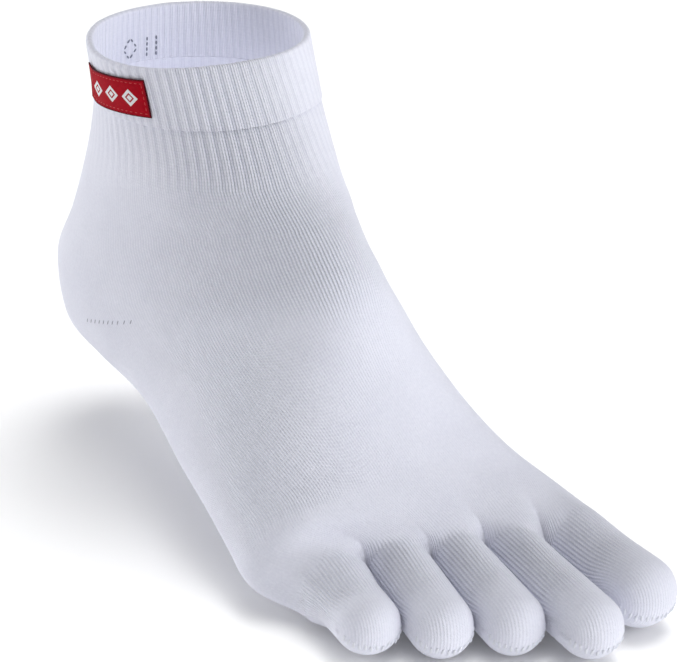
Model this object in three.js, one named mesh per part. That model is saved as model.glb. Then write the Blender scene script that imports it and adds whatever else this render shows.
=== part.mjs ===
// A right-foot toe sock of ankle height, filled out as on a foot with the heel raised.
// Millimetres. The origin is the centre of the cuff's opening, +Z is up, the toes point to -Y
// and the big toe is on the +X side. Tables give "ahead" for the distance towards the toes (-Y).

import * as THREE from 'three';

// Driving sizes

const WALL = { welt: 2.4, leg: 1.6, foot: 1.6, toe: 1.6, label: 0.8 };
const SEAM_GAP = 0.3;
const TOE_SEAM_GAP = 0.5;
const WELT_PROUD = 0.6;
const RIBS = { count: 64, weltDepth: 0.6, legDepth: 0.5, pointsEach: 3 };

// Where each sleeve starts and ends, in rows of the sections table below
const STATION = { rim: 0, weltEnd: 1.08, ribEnd: 2.1, heelEnd: 6.6, archEnd: 9, toeRoots: 11 };

const TINY_STATION = 0.01;
const FACETS = 64;
const BANDS = { welt: 3, leg: 4, heel: 11, arch: 5, ball: 8 };
const STEPS = { overToe: 8, alongWeb: 2, alongToe: 6, roundTip: 4 };

const LABEL = {
  centreShare: -0.034,
  length: 44,
  height: 12.6,
  belowRim: 6.5,
  rearDrop: 1.5,
  steps: 14,
};

// One row is one section across the sock, from the rim down the leg, round the heel and along
// the foot to the ball. Front and back are the section's end points, ahead of and above the
// origin: shin and tendon on the leg, instep and sole on the foot. "widest" is where between
// back and front the widths are reached, the two "round" columns are superellipse exponents,
// "skew" slants the section so that its big toe side lies further ahead, "lean" shifts its
// front towards the big toe and "arch" lifts the inner side of the sole.
const SECTIONS = table(
  'frontAhead frontUp backAhead backUp lateral medial widest roundFront roundBack skew lean arch',
  [
    [34.0, 0.0, -34.0, 0.0, 36.0, 36.0, 0.5, 2.0, 2.0, 0.0, 0, 0],
    [44.0, -20.0, -38.0, -22.5, 32.0, 36.0, 0.5, 2.0, 2.0, 0.0, 0, 0],
    [54.0, -34.5, -45.5, -45.0, 31.5, 36.5, 0.5, 2.0, 2.0, 0.0, 0, 0],
    [63.5, -42.5, -53.0, -68.0, 31.5, 38.0, 0.42, 2.0, 2.1, 0.0, 0, 0],
    [69.0, -46.0, -61.5, -88.5, 32.0, 38.0, 0.38, 2.0, 2.2, 0.0, 0, 0],
    [75.5, -51.0, -53.0, -110.5, 32.5, 36.5, 0.36, 2.0, 2.4, 0.0, 0, 0],
    [82.0, -59.0, -29.0, -117.0, 33.5, 35.5, 0.36, 2.0, 2.6, 0.0, 1, 2],
    [89.0, -71.0, 4.0, -119.0, 39.0, 37.0, 0.38, 2.0, 2.6, 0.0, 2, 7],
    [97.5, -87.0, 44.0, -129.5, 47.5, 39.5, 0.4, 2.0, 2.6, 0.05, 4, 6],
    [109.0, -104.0, 85.5, -141.5, 53.0, 43.5, 0.4, 2.1, 2.6, 0.14, 6, 2],
    [118.5, -113.0, 111.5, -146.5, 56.5, 47.5, 0.42, 2.2, 2.6, 0.22, 7, 0],
  ],
);

// The lines where the foot divides into toes, from the little toe's outer side to the big
// toe's inner side. A web stands from "bottom" to "top" between two toes.
const WEBS = table('side ahead top bottom', [
  [-50.0, 117.0, -133.5, -140.5],
  [-26.0, 119.0, -132.0, -140.5],
  [-9.5, 129.5, -131.5, -140.5],
  [7.0, 135.0, -131.0, -140.5],
  [21.0, 145.5, -130.0, -140.5],
  [45.0, 145.5, -132.5, -139.5],
]);
const WEB_SLANT = 1.5;

// The toes from the little one to the big one. "rise" and "drop" are how far the toe's root
// bulges over and under its webs, tip columns are the centre of the rounded end, and the
// halves are half widths and half heights midway and at the rounded end.
const TOES = table(
  'rise drop tipSide tipAhead tipUp midHalfWidth midHalfHeight endHalfWidth endHalfHeight endLength',
  [
    [8.5, 5.5, -44.0, 141.0, -137.0, 9.4, 9.8, 9.2, 9.2, 9.4],
    [9.0, 5.5, -27.6, 154.0, -136.5, 8.6, 10.2, 9.2, 9.7, 9.8],
    [9.5, 5.5, -10.0, 165.5, -136.3, 8.5, 10.2, 9.3, 9.9, 10.0],
    [10.0, 5.5, 6.0, 181.5, -136.0, 8.2, 10.2, 9.5, 10.1, 10.3],
    [11.0, 6.0, 31.0, 176.5, -135.0, 11.4, 11.2, 11.4, 11.2, 11.2],
  ],
);
const TOE_NAMES = ['little', 'fourth', 'third', 'second', 'big'];
const TOE_REACH = 22;
const TOE_ROUNDED_BY = 0.55;
const TIP_FLATNESS = { width: 0.8, height: 0.9, end: 0.06 };

const COLOUR = { cotton: 0xe6e8f0, rib: 0xeceef5, label: 0xa8141e };

function table(columns, rows) {
  const names = columns.split(' ');
  return rows.map((row) => Object.fromEntries(names.map((name, i) => [name, row[i]])));
}

function place(side, ahead, up) {
  return new THREE.Vector3(side, -ahead, up);
}

function mix(a, b, t) {
  return a.clone().lerp(b, t);
}

function smooth(t) {
  const u = THREE.MathUtils.clamp(t, 0, 1);
  return u * u * (3 - 2 * u);
}

function signedPower(value, power) {
  return Math.sign(value) * Math.abs(value) ** power;
}

function range(count, end = 1) {
  return Array.from({ length: count + 1 }, (_, i) => (end * i) / count);
}

// Sections

// Angle 0 is the lateral side, a quarter turn the front, half a turn the medial side.
function sectionPoint(row, angle) {
  const across = -Math.cos(angle);
  const along = Math.sin(angle);
  const power = 2 / (along >= 0 ? row.roundFront : row.roundBack);
  const reach = along >= 0 ? 1 - row.widest : row.widest;
  const share = row.widest + signedPower(along, power) * reach;
  const side = signedPower(across, power) * (across >= 0 ? row.medial : row.lateral);
  const inner = Math.max(side, 0) / row.medial;
  const under = THREE.MathUtils.clamp(1 - share / row.widest, 0, 1);
  const leaned = side + row.lean * (share - row.widest);
  const ahead = THREE.MathUtils.lerp(row.backAhead, row.frontAhead, share) + row.skew * leaned;
  const up = THREE.MathUtils.lerp(row.backUp, row.frontUp, share) + row.arch * inner ** 1.5 * under;
  return place(leaned, ahead, up);
}

// Points of a section at given shares of its girth: 0 is the lateral side, 0.5 the medial.
function ringAtShares(row, shares) {
  const fine = 360;
  const curve = range(2 * fine, 2 * Math.PI).map((angle) => sectionPoint(row, angle));
  const lengths = [0];
  for (let i = 1; i < curve.length; i += 1) {
    lengths.push(lengths[i - 1] + curve[i].distanceTo(curve[i - 1]));
  }
  const front = lengths[fine];
  const whole = lengths[2 * fine];
  return shares.map((value) => {
    const share = value - Math.floor(value);
    const target = share <= 0.5 ? share * 2 * front : front + (share - 0.5) * 2 * (whole - front);
    const i = Math.max(1, lengths.findIndex((length) => length >= target));
    return mix(curve[i - 1], curve[i], (target - lengths[i - 1]) / (lengths[i] - lengths[i - 1]));
  });
}

// Roots of the toes

function webLine(web) {
  return range(STEPS.alongWeb).map((t) =>
    place(web.side, web.ahead + WEB_SLANT * t, THREE.MathUtils.lerp(web.top, web.bottom, t)));
}

function rootArc(toe, over) {
  const [a, b] = [WEBS[toe], WEBS[toe + 1]];
  const level = over ? 'top' : 'bottom';
  return range(STEPS.overToe, Math.PI).map((angle) => {
    const t = (1 - Math.cos(angle)) / 2;
    const bulge = over ? TOES[toe].rise : -TOES[toe].drop;
    return place(
      THREE.MathUtils.lerp(a.side, b.side, t),
      THREE.MathUtils.lerp(a.ahead, b.ahead, t) + (over ? 0 : WEB_SLANT),
      THREE.MathUtils.lerp(a[level], b[level], t) + bulge * Math.sin(angle),
    );
  });
}

// The edge of the foot where the toes begin, once round from the middle of the outer side.
function rootRing() {
  const outer = webLine(WEBS[0]);
  const inner = webLine(WEBS[TOES.length]);
  const middle = STEPS.alongWeb / 2;
  const ring = outer.slice(1, middle + 1).reverse();
  TOES.forEach((_, toe) => ring.push(...rootArc(toe, true).slice(0, -1)));
  ring.push(...inner.slice(0, -1));
  [...TOES.keys()].reverse().forEach((toe) => ring.push(...rootArc(toe, false).reverse().slice(0, -1)));
  ring.push(...outer.slice(middle + 1).reverse());
  return ring;
}

const HALF_ROOT = STEPS.alongWeb + TOES.length * STEPS.overToe;

function rootShares(ring) {
  const lengths = [0];
  ring.forEach((point, i) => {
    lengths.push(lengths[i] + point.distanceTo(ring[(i + 1) % ring.length]));
  });
  const half = lengths[HALF_ROOT];
  const rest = lengths[ring.length] - half;
  return ring.map((_, i) =>
    i <= HALF_ROOT ? (0.5 * lengths[i]) / half : 0.5 + (0.5 * (lengths[i] - half)) / rest);
}

function toeRootCentre(toe) {
  const [a, b] = [WEBS[toe], WEBS[toe + 1]];
  const top = (a.top + b.top) / 2 + TOES[toe].rise;
  const bottom = (a.bottom + b.bottom) / 2 - TOES[toe].drop;
  return place((a.side + b.side) / 2, (a.ahead + b.ahead + WEB_SLANT) / 2, (top + bottom) / 2);
}

function toeTipCentre(toe) {
  return place(TOES[toe].tipSide, TOES[toe].tipAhead, TOES[toe].tipUp);
}

function toeDirection(toe) {
  return toeTipCentre(toe).sub(toeRootCentre(toe)).normalize();
}

// Directions in which the foot's edge runs on into the toes, eased from toe to toe.
function rootDirections() {
  const directions = TOES.map((_, toe) => toeDirection(toe));
  return rootRing().map((_, i) => {
    const past = i <= HALF_ROOT ? i : 2 * HALF_ROOT - i;
    const arc = THREE.MathUtils.clamp((past - STEPS.alongWeb / 2) / STEPS.overToe, 0, TOES.length);
    const toe = THREE.MathUtils.clamp(arc - 0.5, 0, TOES.length - 1);
    const low = Math.min(Math.floor(toe), TOES.length - 2);
    return mix(directions[low], directions[low + 1], toe - low).normalize();
  });
}

// The sock's outer form: sections, or sections and the toe roots, joined by smooth curves

function cubic(p, t) {
  const weights = [
    -t + 2 * t ** 2 - t ** 3,
    2 - 5 * t ** 2 + 3 * t ** 3,
    t + 4 * t ** 2 - 3 * t ** 3,
    -(t ** 2) + t ** 3,
  ];
  const out = new THREE.Vector3();
  weights.forEach((weight, i) => out.addScaledVector(p[i], weight / 2));
  return out;
}

function makeForm(shares, withRoots = false) {
  const rings = SECTIONS.map((row) => ringAtShares(row, shares));
  rings.unshift(rings[0].map((point, i) => point.clone().multiplyScalar(2).sub(rings[1][i])));
  if (withRoots) {
    const roots = rootRing();
    const directions = rootDirections();
    rings.push(roots);
    rings.push(roots.map((point, i) => point.clone().addScaledVector(directions[i], TOE_REACH)));
  }
  const ring = (station) => {
    const i = Math.min(Math.floor(station), rings.length - 4);
    return shares.map((_, j) =>
      cubic([rings[i][j], rings[i + 1][j], rings[i + 2][j], rings[i + 3][j]], station - i));
  };
  return { ring, directions: (station) => directionsAlong(ring, station) };
}

function directionsAlong(ring, station) {
  const before = ring(Math.max(station - TINY_STATION, 0));
  const after = ring(station + TINY_STATION);
  return after.map((point, j) => point.clone().sub(before[j]).normalize());
}

function evenShares(count) {
  return range(count).slice(0, -1);
}

// A stretch of cloth is its rings and the directions in which it runs at its two ends.
function stretchOf(form, from, to, bands) {
  const rings = stations(from, to, bands).map((station) => form.ring(station));
  return { rings, start: form.directions(from), end: form.directions(to) };
}

// Draws a stretch's ends back along its length, so that neighbours stay apart.
function drawnBack({ rings, start, end }, atStart, atEnd) {
  const moved = rings.slice();
  const last = rings.length - 1;
  if (atStart) moved[0] = rings[0].map((p, j) => p.clone().addScaledVector(start[j], atStart));
  if (atEnd) moved[last] = rings[last].map((p, j) => p.clone().addScaledVector(end[j], -atEnd));
  return { rings: moved, start, end };
}

// The rings moved out along the cloth's normals, or in where the distance is negative.
function movedOut({ rings, start, end }, distance) {
  const last = rings.length - 1;
  const along = (i, j) => {
    if (i === 0 && start) return start[j];
    if (i === last && end) return end[j];
    return rings[Math.min(i + 1, last)][j].clone().sub(rings[Math.max(i - 1, 0)][j]);
  };
  return rings.map((ring, i) => ring.map((point, j) => {
    const before = ring[(j + ring.length - 1) % ring.length];
    const after = ring[(j + 1) % ring.length];
    const normal = along(i, j).clone().cross(after.clone().sub(before)).normalize();
    const amount = typeof distance === 'function' ? distance(i, j) : distance;
    return point.clone().addScaledVector(normal, amount);
  }));
}

// Closed bodies from rings

class Faces {
  constructor() {
    this.points = [];
    this.triangles = [];
  }

  addRing(ring) {
    const start = this.points.length;
    this.points.push(...ring);
    return ring.map((_, i) => start + i);
  }

  // Joins two rings of equal count, the second further along the sock, facing out.
  band(upper, lower) {
    const count = upper.length;
    for (let j = 0; j < count; j += 1) {
      const k = (j + 1) % count;
      this.triangles.push([upper[j], lower[j], lower[k]], [upper[j], lower[k], upper[k]]);
    }
  }

  // Joins a fine ring to a coarse one that has one point for every few of the fine ring's.
  rim(fine, coarse) {
    const each = fine.length / coarse.length;
    for (let j = 0; j < coarse.length; j += 1) {
      const next = coarse[(j + 1) % coarse.length];
      const turn = Math.floor(each / 2);
      for (let i = 0; i < each; i += 1) {
        const a = fine[j * each + i];
        const b = fine[(j * each + i + 1) % fine.length];
        if (i === turn) this.triangles.push([coarse[j], a, next]);
        this.triangles.push([i < turn ? coarse[j] : next, a, b]);
      }
    }
  }

  fan(ring, centre) {
    const middle = this.addRing([centre])[0];
    ring.forEach((point, j) => this.triangles.push([point, middle, ring[(j + 1) % ring.length]]));
  }

  flipped(build) {
    const start = this.triangles.length;
    build();
    for (let i = start; i < this.triangles.length; i += 1) this.triangles[i].reverse();
  }

  geometry() {
    const geometry = new THREE.BufferGeometry();
    const positions = this.points.flatMap((point) => point.toArray());
    geometry.setAttribute('position', new THREE.Float32BufferAttribute(positions, 3));
    geometry.setIndex(this.triangles.flat());
    geometry.computeVertexNormals();
    return geometry;
  }
}

// A tube of cloth, open at its upper end, and at its lower end unless it is closed.
function sleeve(outerRings, innerRings, closed = false) {
  const faces = new Faces();
  const outer = outerRings.map((ring) => faces.addRing(ring));
  const inner = innerRings.map((ring) => faces.addRing(ring));
  for (let i = 1; i < outer.length; i += 1) faces.band(outer[i - 1], outer[i]);
  faces.flipped(() => {
    for (let i = 1; i < inner.length; i += 1) faces.band(inner[i - 1], inner[i]);
  });
  faces.rim(outer[0], inner[0]);
  if (closed) {
    faces.fan(outer.at(-1), centreOf(outerRings.at(-1)));
    faces.flipped(() => faces.fan(inner.at(-1), centreOf(innerRings.at(-1))));
  } else {
    faces.flipped(() => faces.rim(outer.at(-1), inner.at(-1)));
  }
  return faces.geometry();
}

function centreOf(ring) {
  return ring.reduce((sum, point) => sum.add(point), new THREE.Vector3()).divideScalar(ring.length);
}

function everyNth(ring, step) {
  return ring.filter((_, i) => i % step === 0);
}

// The inside of a plain sleeve needs only every second point.
function thinned(rings) {
  return rings.map((ring) => everyNth(ring, 2));
}

// Stations from one end of a sleeve to the other, evenly spaced.
function stations(from, to, bands) {
  return range(bands).map((t) => THREE.MathUtils.lerp(from, to, t));
}

const cotton = new THREE.MeshStandardMaterial({ color: COLOUR.cotton, roughness: 0.95, metalness: 0 });
const ribbedCotton = new THREE.MeshStandardMaterial({ color: COLOUR.rib, roughness: 0.95, metalness: 0 });
const wovenLabel = new THREE.MeshStandardMaterial({ color: COLOUR.label, roughness: 0.7, metalness: 0 });

const sock = new THREE.Group();

function addPiece(name, geometry, material) {
  const mesh = new THREE.Mesh(geometry, material);
  mesh.name = name;
  sock.add(mesh);
}

// Welt and ribbed leg: ribs stand on the outside, the inside is plain

function ribbedSleeve(from, to, bands, { proud, wall, depthAt }) {
  const form = makeForm(evenShares(RIBS.count * RIBS.pointsEach));
  const places = stations(from, to, bands);
  const gapAtStart = from > STATION.rim ? SEAM_GAP / 2 : 0;
  const cloth = drawnBack(stretchOf(form, from, to, bands), gapAtStart, SEAM_GAP / 2);
  const outer = movedOut(cloth, (i, j) =>
    proud - (j % RIBS.pointsEach === 0 ? depthAt(places[i]) : 0));
  const inner = movedOut(cloth, -wall).map((ring) => everyNth(ring, RIBS.pointsEach));
  return sleeve(outer, [inner[0], inner[Math.floor(bands / 2)], inner.at(-1)]);
}

function ribFade(station) {
  const left = (STATION.ribEnd - station) / (STATION.ribEnd - STATION.weltEnd);
  return RIBS.legDepth * Math.min(1, 0.15 + 1.5 * left);
}

// Plain sleeves of the foot

function plainSleeve(from, to, bands) {
  const form = makeForm(evenShares(FACETS));
  const cloth = drawnBack(stretchOf(form, from, to, bands), SEAM_GAP / 2, SEAM_GAP / 2);
  return sleeve(cloth.rings, thinned(movedOut(cloth, -WALL.foot)));
}

function ballSleeve(bands) {
  const form = makeForm(rootShares(rootRing()), true);
  const whole = stretchOf(form, STATION.archEnd, STATION.toeRoots, bands);
  const cloth = drawnBack({ ...whole, end: rootDirections() }, SEAM_GAP / 2, SEAM_GAP / 2);
  return sleeve(cloth.rings, movedOut(cloth, -WALL.foot));
}

// Toe pockets

function toeRootOutline(toe) {
  return [
    ...rootArc(toe, true).slice(0, -1),
    ...webLine(WEBS[toe + 1]).slice(0, -1),
    ...rootArc(toe, false).reverse().slice(0, -1),
    ...webLine(WEBS[toe]).reverse().slice(0, -1),
  ];
}

function toeRings(toe) {
  const size = TOES[toe];
  const root = toeRootCentre(toe);
  const tip = toeTipCentre(toe);
  const ahead = toeDirection(toe);
  const across = new THREE.Vector3(0, 0, 1).cross(ahead).normalize();
  const up = ahead.clone().cross(across);
  const outline = toeRootOutline(toe).map((point) => point.sub(root));
  const angles = outline.map((point) => Math.atan2(point.dot(up), -point.dot(across)));
  const oval = (width, height) => angles.map((angle) => new THREE.Vector3()
    .addScaledVector(across, -Math.cos(angle) * width)
    .addScaledVector(up, Math.sin(angle) * height));
  const tube = range(STEPS.alongToe).map((t) => {
    const width = THREE.MathUtils.lerp(size.midHalfWidth, size.endHalfWidth, smooth(t));
    const height = THREE.MathUtils.lerp(size.midHalfHeight, size.endHalfHeight, smooth(t));
    const rounded = smooth(t / TOE_ROUNDED_BY);
    return oval(width, height).map((point, j) => mix(outline[j], point, rounded).add(mix(root, tip, t)));
  });
  const end = range(STEPS.roundTip, Math.PI / 2).slice(1).map((angle) => {
    const left = Math.max(Math.cos(angle), TIP_FLATNESS.end);
    const centre = tip.clone().addScaledVector(ahead, size.endLength * Math.sin(angle));
    return oval(
      size.endHalfWidth * left ** TIP_FLATNESS.width,
      size.endHalfHeight * left ** TIP_FLATNESS.height,
    ).map((point) => point.add(centre));
  });
  return [...tube, ...end];
}

function toePocket(toe) {
  const rings = toeRings(toe);
  const whole = { rings, start: rings[0].map(() => toeDirection(toe)) };
  const eased = movedOut(whole, -SEAM_GAP / 2);
  const cloth = drawnBack({ ...whole, rings: [eased[0], ...rings.slice(1)] }, TOE_SEAM_GAP - SEAM_GAP / 2, 0);
  return sleeve(cloth.rings, thinned(movedOut(cloth, -WALL.toe)), true);
}

// The label lies on the welt, made from the welt's points moved out

function labelBody() {
  const girth = 2 * Math.PI * Math.sqrt((SECTIONS[0].lateral ** 2 + SECTIONS[0].frontAhead ** 2) / 2);
  const spread = LABEL.length / girth;
  const perRow = SECTIONS[0].frontUp - (SECTIONS[1].frontUp + SECTIONS[1].backUp) / 2;
  const shares = range(LABEL.steps).map((t) => LABEL.centreShare + spread * (t - 0.5));
  const form = makeForm(shares.map((share) => (share + 1) % 1));
  const tops = range(LABEL.steps).map((t) => LABEL.belowRim + LABEL.rearDrop * (1 - 2 * t));
  const rows = 3;
  const grid = range(rows).map((v) => tops.map((top, j) => {
    const station = (top + LABEL.height * v) / perRow;
    const ring = form.ring(station);
    const beside = ring[j === 0 ? 1 : j - 1];
    const round = beside.clone().sub(ring[j]).multiplyScalar(j === 0 ? 1 : -1);
    return { point: ring[j], normal: form.directions(station)[j].cross(round).normalize() };
  }));
  const faces = new Faces();
  const lift = (distance) => grid.map((row) => faces.addRing(
    row.map(({ point, normal }) => point.clone().addScaledVector(normal, distance))));
  const inner = lift(WELT_PROUD + SEAM_GAP);
  const outer = lift(WELT_PROUD + SEAM_GAP + WALL.label);
  const quad = (a, b, c, d) => faces.triangles.push([a, b, c], [a, c, d]);
  const steps = LABEL.steps;
  for (let i = 0; i < rows; i += 1) {
    for (let j = 0; j < steps; j += 1) {
      quad(outer[i][j], outer[i + 1][j], outer[i + 1][j + 1], outer[i][j + 1]);
      quad(inner[i][j], inner[i][j + 1], inner[i + 1][j + 1], inner[i + 1][j]);
    }
    quad(inner[i][0], inner[i + 1][0], outer[i + 1][0], outer[i][0]);
    quad(outer[i][steps], outer[i + 1][steps], inner[i + 1][steps], inner[i][steps]);
  }
  for (let j = 0; j < steps; j += 1) {
    quad(inner[0][j], outer[0][j], outer[0][j + 1], inner[0][j + 1]);
    quad(outer[rows][j], inner[rows][j], inner[rows][j + 1], outer[rows][j + 1]);
  }
  return faces.geometry();
}

// The sock

addPiece('cuff_welt', ribbedSleeve(STATION.rim, STATION.weltEnd, BANDS.welt, {
  proud: WELT_PROUD,
  wall: WALL.welt - WELT_PROUD,
  depthAt: () => RIBS.weltDepth,
}), ribbedCotton);

addPiece('ribbed_leg', ribbedSleeve(STATION.weltEnd, STATION.ribEnd, BANDS.leg, {
  proud: 0,
  wall: WALL.leg,
  depthAt: ribFade,
}), ribbedCotton);

addPiece('heel_pocket', plainSleeve(STATION.ribEnd, STATION.heelEnd, BANDS.heel), cotton);
addPiece('arch_sleeve', plainSleeve(STATION.heelEnd, STATION.archEnd, BANDS.arch), cotton);
addPiece('ball_sleeve', ballSleeve(BANDS.ball), cotton);
TOES.forEach((_, toe) => addPiece(`toe_pocket_${TOE_NAMES[toe]}`, toePocket(toe), cotton));
addPiece('label', labelBody(), wovenLabel);

export default sock;
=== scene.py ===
"""A white cotton toe sock for a right foot, filled out as worn, built around its fixed frame.

Lengths are in metres. Charts are in millimetres, as a knitter writes them, and MM turns them
into metres. The centre of the cuff's opening is the origin, the toes point to -Y and the big
toe is on the +X side. Charts give "ahead" for the distance towards the toes.
"""

import logging
import math
import random
from collections.abc import Iterable
from dataclasses import dataclass, field
from enum import Enum

import bmesh
import bpy
import numpy as np
from mathutils import Matrix, Vector


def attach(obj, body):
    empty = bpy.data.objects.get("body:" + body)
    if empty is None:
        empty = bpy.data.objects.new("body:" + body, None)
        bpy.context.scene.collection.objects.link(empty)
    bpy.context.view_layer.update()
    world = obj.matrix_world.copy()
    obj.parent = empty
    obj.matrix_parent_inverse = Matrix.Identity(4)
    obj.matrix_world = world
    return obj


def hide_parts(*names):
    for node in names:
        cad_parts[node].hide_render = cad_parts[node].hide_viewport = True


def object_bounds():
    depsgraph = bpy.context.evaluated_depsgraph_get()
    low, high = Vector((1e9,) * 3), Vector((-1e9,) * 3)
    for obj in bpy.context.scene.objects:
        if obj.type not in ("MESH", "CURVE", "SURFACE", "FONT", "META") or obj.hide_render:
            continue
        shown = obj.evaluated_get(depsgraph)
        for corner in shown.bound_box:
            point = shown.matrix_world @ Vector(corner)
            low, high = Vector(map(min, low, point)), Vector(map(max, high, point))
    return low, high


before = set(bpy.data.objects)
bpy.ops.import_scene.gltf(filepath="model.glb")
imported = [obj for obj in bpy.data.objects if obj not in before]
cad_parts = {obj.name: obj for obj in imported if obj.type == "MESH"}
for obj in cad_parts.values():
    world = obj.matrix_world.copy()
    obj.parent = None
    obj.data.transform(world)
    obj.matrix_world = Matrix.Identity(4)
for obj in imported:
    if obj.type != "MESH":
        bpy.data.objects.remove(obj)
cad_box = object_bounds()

log = logging.getLogger("toe_sock")

MM = 0.001
TURN = 2 * math.pi
KNIT_MAP = "knit"
RELIEF = "relief"
SOLE = "sole"
MESH = "mesh"
RIBBING = "ribbing"
MERGE_DISTANCE = 0.002 * MM
SEED = 11

# Red, green, blue and alpha, each from 0 to 1
Colour = tuple[float, float, float, float]

# How far to look to each side of a spot, in shares of the girth and in rows of the section chart
BESIDE = 0.002
ALONG = 0.01

# Wales are the knit's columns of stitches and courses its rows. A rib is three wales and a groove.
WALES_PER_RIB = 4
RIBS_ROUND = 68
INNER_RIBS_ROUND = 92
WALES_ROUND = RIBS_ROUND * WALES_PER_RIB
WALE_WIDTH = 0.95 * MM
COURSE_HEIGHT = 1.0 * MM

# How far down the sock a row of the section chart is, near the rim
ROW_DROP = 22.2 * MM

# Where each piece starts and ends, in rows of the section chart
WELT_END = 1.03
LEG_END = 2.6
TOE_ROOTS = 11


class Slot(Enum):
    """The record's material slots."""

    RIB = "rib_knit"
    JERSEY = "jersey_knit"
    LABEL = "woven_label"
    THREAD = "grey_thread"


class Side(Enum):
    """The two sides of the sock that carry the heel's gore line."""

    LATERAL = 1
    MEDIAL = -1


def smooth(value: np.ndarray | float) -> np.ndarray | float:
    """Eases a share from 0 to 1, flat at both ends."""
    held = np.clip(value, 0, 1)
    return held * held * (3 - 2 * held)


def ramp(value: np.ndarray | float, start: float, end: float) -> np.ndarray | float:
    """Eases from 0 at a start to 1 at an end."""
    return smooth((value - start) / (end - start))


def mix(a: np.ndarray, b: np.ndarray, share: np.ndarray | float) -> np.ndarray:
    """Goes from a to b by a share."""
    return a + (b - a) * share


def place(side: np.ndarray | float, ahead: np.ndarray | float, up: np.ndarray | float) -> np.ndarray:
    """Turns millimetres to the side, ahead and up into a place in metres."""
    return np.stack(np.broadcast_arrays(side, -np.asarray(ahead), up), axis=-1).astype(float) * MM


def unit(vectors: np.ndarray) -> np.ndarray:
    """Gives vectors a length of one."""
    return vectors / np.maximum(np.linalg.norm(vectors, axis=-1, keepdims=True), 1e-12)


def bell(value: np.ndarray | float, middle: float, before: float, after: float) -> np.ndarray | float:
    """A smooth hump of height one, with its own spread on each side."""
    spread = np.where(value < middle, before, after)
    return np.exp(-(((value - middle) / spread) ** 2))


def path_length(places: np.ndarray, axis: int = 0) -> np.ndarray:
    """Length walked along an axis up to each place, from 0.

    Args:
        places: Net of places, the last axis being x, y and z.
        axis: The axis to walk along.

    Returns:
        The lengths, in metres, in the net's form.
    """
    steps = np.linalg.norm(np.diff(places, axis=axis), axis=-1)
    start = np.zeros_like(np.take(steps, [0], axis=axis))
    return np.concatenate([start, np.cumsum(steps, axis=axis)], axis=axis)


def turned_from(start: float, shares: np.ndarray) -> np.ndarray:
    """Brings shares of the girth into the one turn that begins at a start."""
    return np.mod(shares - start, 1.0) + start


@dataclass(frozen=True)
class Zone:
    """A stretch of the way round: its middle, and how far it fades out before and after."""

    middle: float
    before: float
    after: float

    def over(self, shares: np.ndarray) -> np.ndarray:
        """One in the zone's middle, easing to nothing."""
        return bell(shares, self.middle, self.before, self.after)


@dataclass(frozen=True)
class Area(Zone):
    """A zone that also sets in and ends down the sock, between rows of the section chart."""

    sets_in: tuple[float, float] = (-2.0, -1.0)
    ends: tuple[float, float] = (12.0, 13.0)
    strength: float = 1.0

    def at(self, stations: np.ndarray, shares: np.ndarray) -> np.ndarray:
        """How far the area takes in each place of a net.

        Args:
            stations: Rows of the section chart, one for each row of the net.
            shares: Shares of the girth, one for each column.

        Returns:
            A net of shares from 0 to the area's strength.
        """
        rows = stations[:, None]
        down = ramp(rows, *self.sets_in) * (1 - ramp(rows, *self.ends))
        return self.strength * self.over(turned_from(-0.25, shares)) * down


@dataclass(frozen=True)
class Section:
    """One section across the sock, in millimetres.

    Front and back are its end points, shin and tendon on the leg, instep and sole on the foot.
    The widths are reached at the share "widest" between back and front, the "round" values are
    superellipse exponents, "skew" slants the section so that its big toe side lies further
    ahead, "lean" shifts its front towards the big toe and "arch" lifts the inner sole.
    """

    front_ahead: float
    front_up: float
    back_ahead: float
    back_up: float
    lateral: float
    medial: float
    widest: float = 0.5
    round_front: float = 2.0
    round_back: float = 2.0
    skew: float = 0.0
    lean: float = 0.0
    arch: float = 0.0

    def points(self, angles: np.ndarray) -> np.ndarray:
        """Places at angles from the lateral side (0) over the front (a quarter turn).

        Args:
            angles: The angles, in radians.

        Returns:
            A place for each angle.
        """
        across = -np.cos(angles)
        along = np.sin(angles)
        power = 2 / np.where(along >= 0, self.round_front, self.round_back)
        reach = np.where(along >= 0, 1 - self.widest, self.widest)
        share = self.widest + np.sign(along) * np.abs(along) ** power * reach
        half_width = np.where(across >= 0, self.medial, self.lateral)
        side = np.sign(across) * np.abs(across) ** power * half_width
        inner = np.maximum(side, 0) / self.medial
        under = np.clip(1 - share / self.widest, 0, 1)
        leaned = side + self.lean * (share - self.widest)
        ahead = mix(self.back_ahead, self.front_ahead, share) + self.skew * leaned
        up = mix(self.back_up, self.front_up, share) + self.arch * inner**1.5 * under
        return place(leaned, ahead, up)

    def ring(self, shares: np.ndarray) -> np.ndarray:
        """Places at shares of the girth, 0 on the lateral side and 0.5 on the medial side.

        Args:
            shares: Shares of the girth.

        Returns:
            A place for each share.
        """
        half = 360
        curve = self.points(np.linspace(0, TURN, 2 * half + 1))
        lengths = path_length(curve)
        over = 0.5 * lengths[: half + 1] / lengths[half]
        under = 0.5 + 0.5 * (lengths[half + 1 :] - lengths[half]) / (lengths[-1] - lengths[half])
        marks = np.concatenate([over, under])
        wrapped = np.where(shares == 1, 1.0, np.mod(shares, 1.0))
        return np.stack([np.interp(wrapped, marks, curve[:, axis]) for axis in range(3)], axis=-1)


@dataclass(frozen=True)
class Web:
    """A line where the foot divides into toes, in millimetres, standing from bottom to top."""

    side: float
    ahead: float
    top: float
    bottom: float


@dataclass(frozen=True)
class Toe:
    """One toe pocket, in millimetres.

    "rise" and "drop" are how far its root bulges over and under its webs. The halves are half
    widths and half heights, midway and where the rounded end begins.
    """

    name: str
    rise: float
    drop: float
    tip: tuple[float, float, float]
    mid_half_width: float
    mid_half_height: float
    end_half_width: float
    end_half_height: float
    end_length: float


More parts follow.
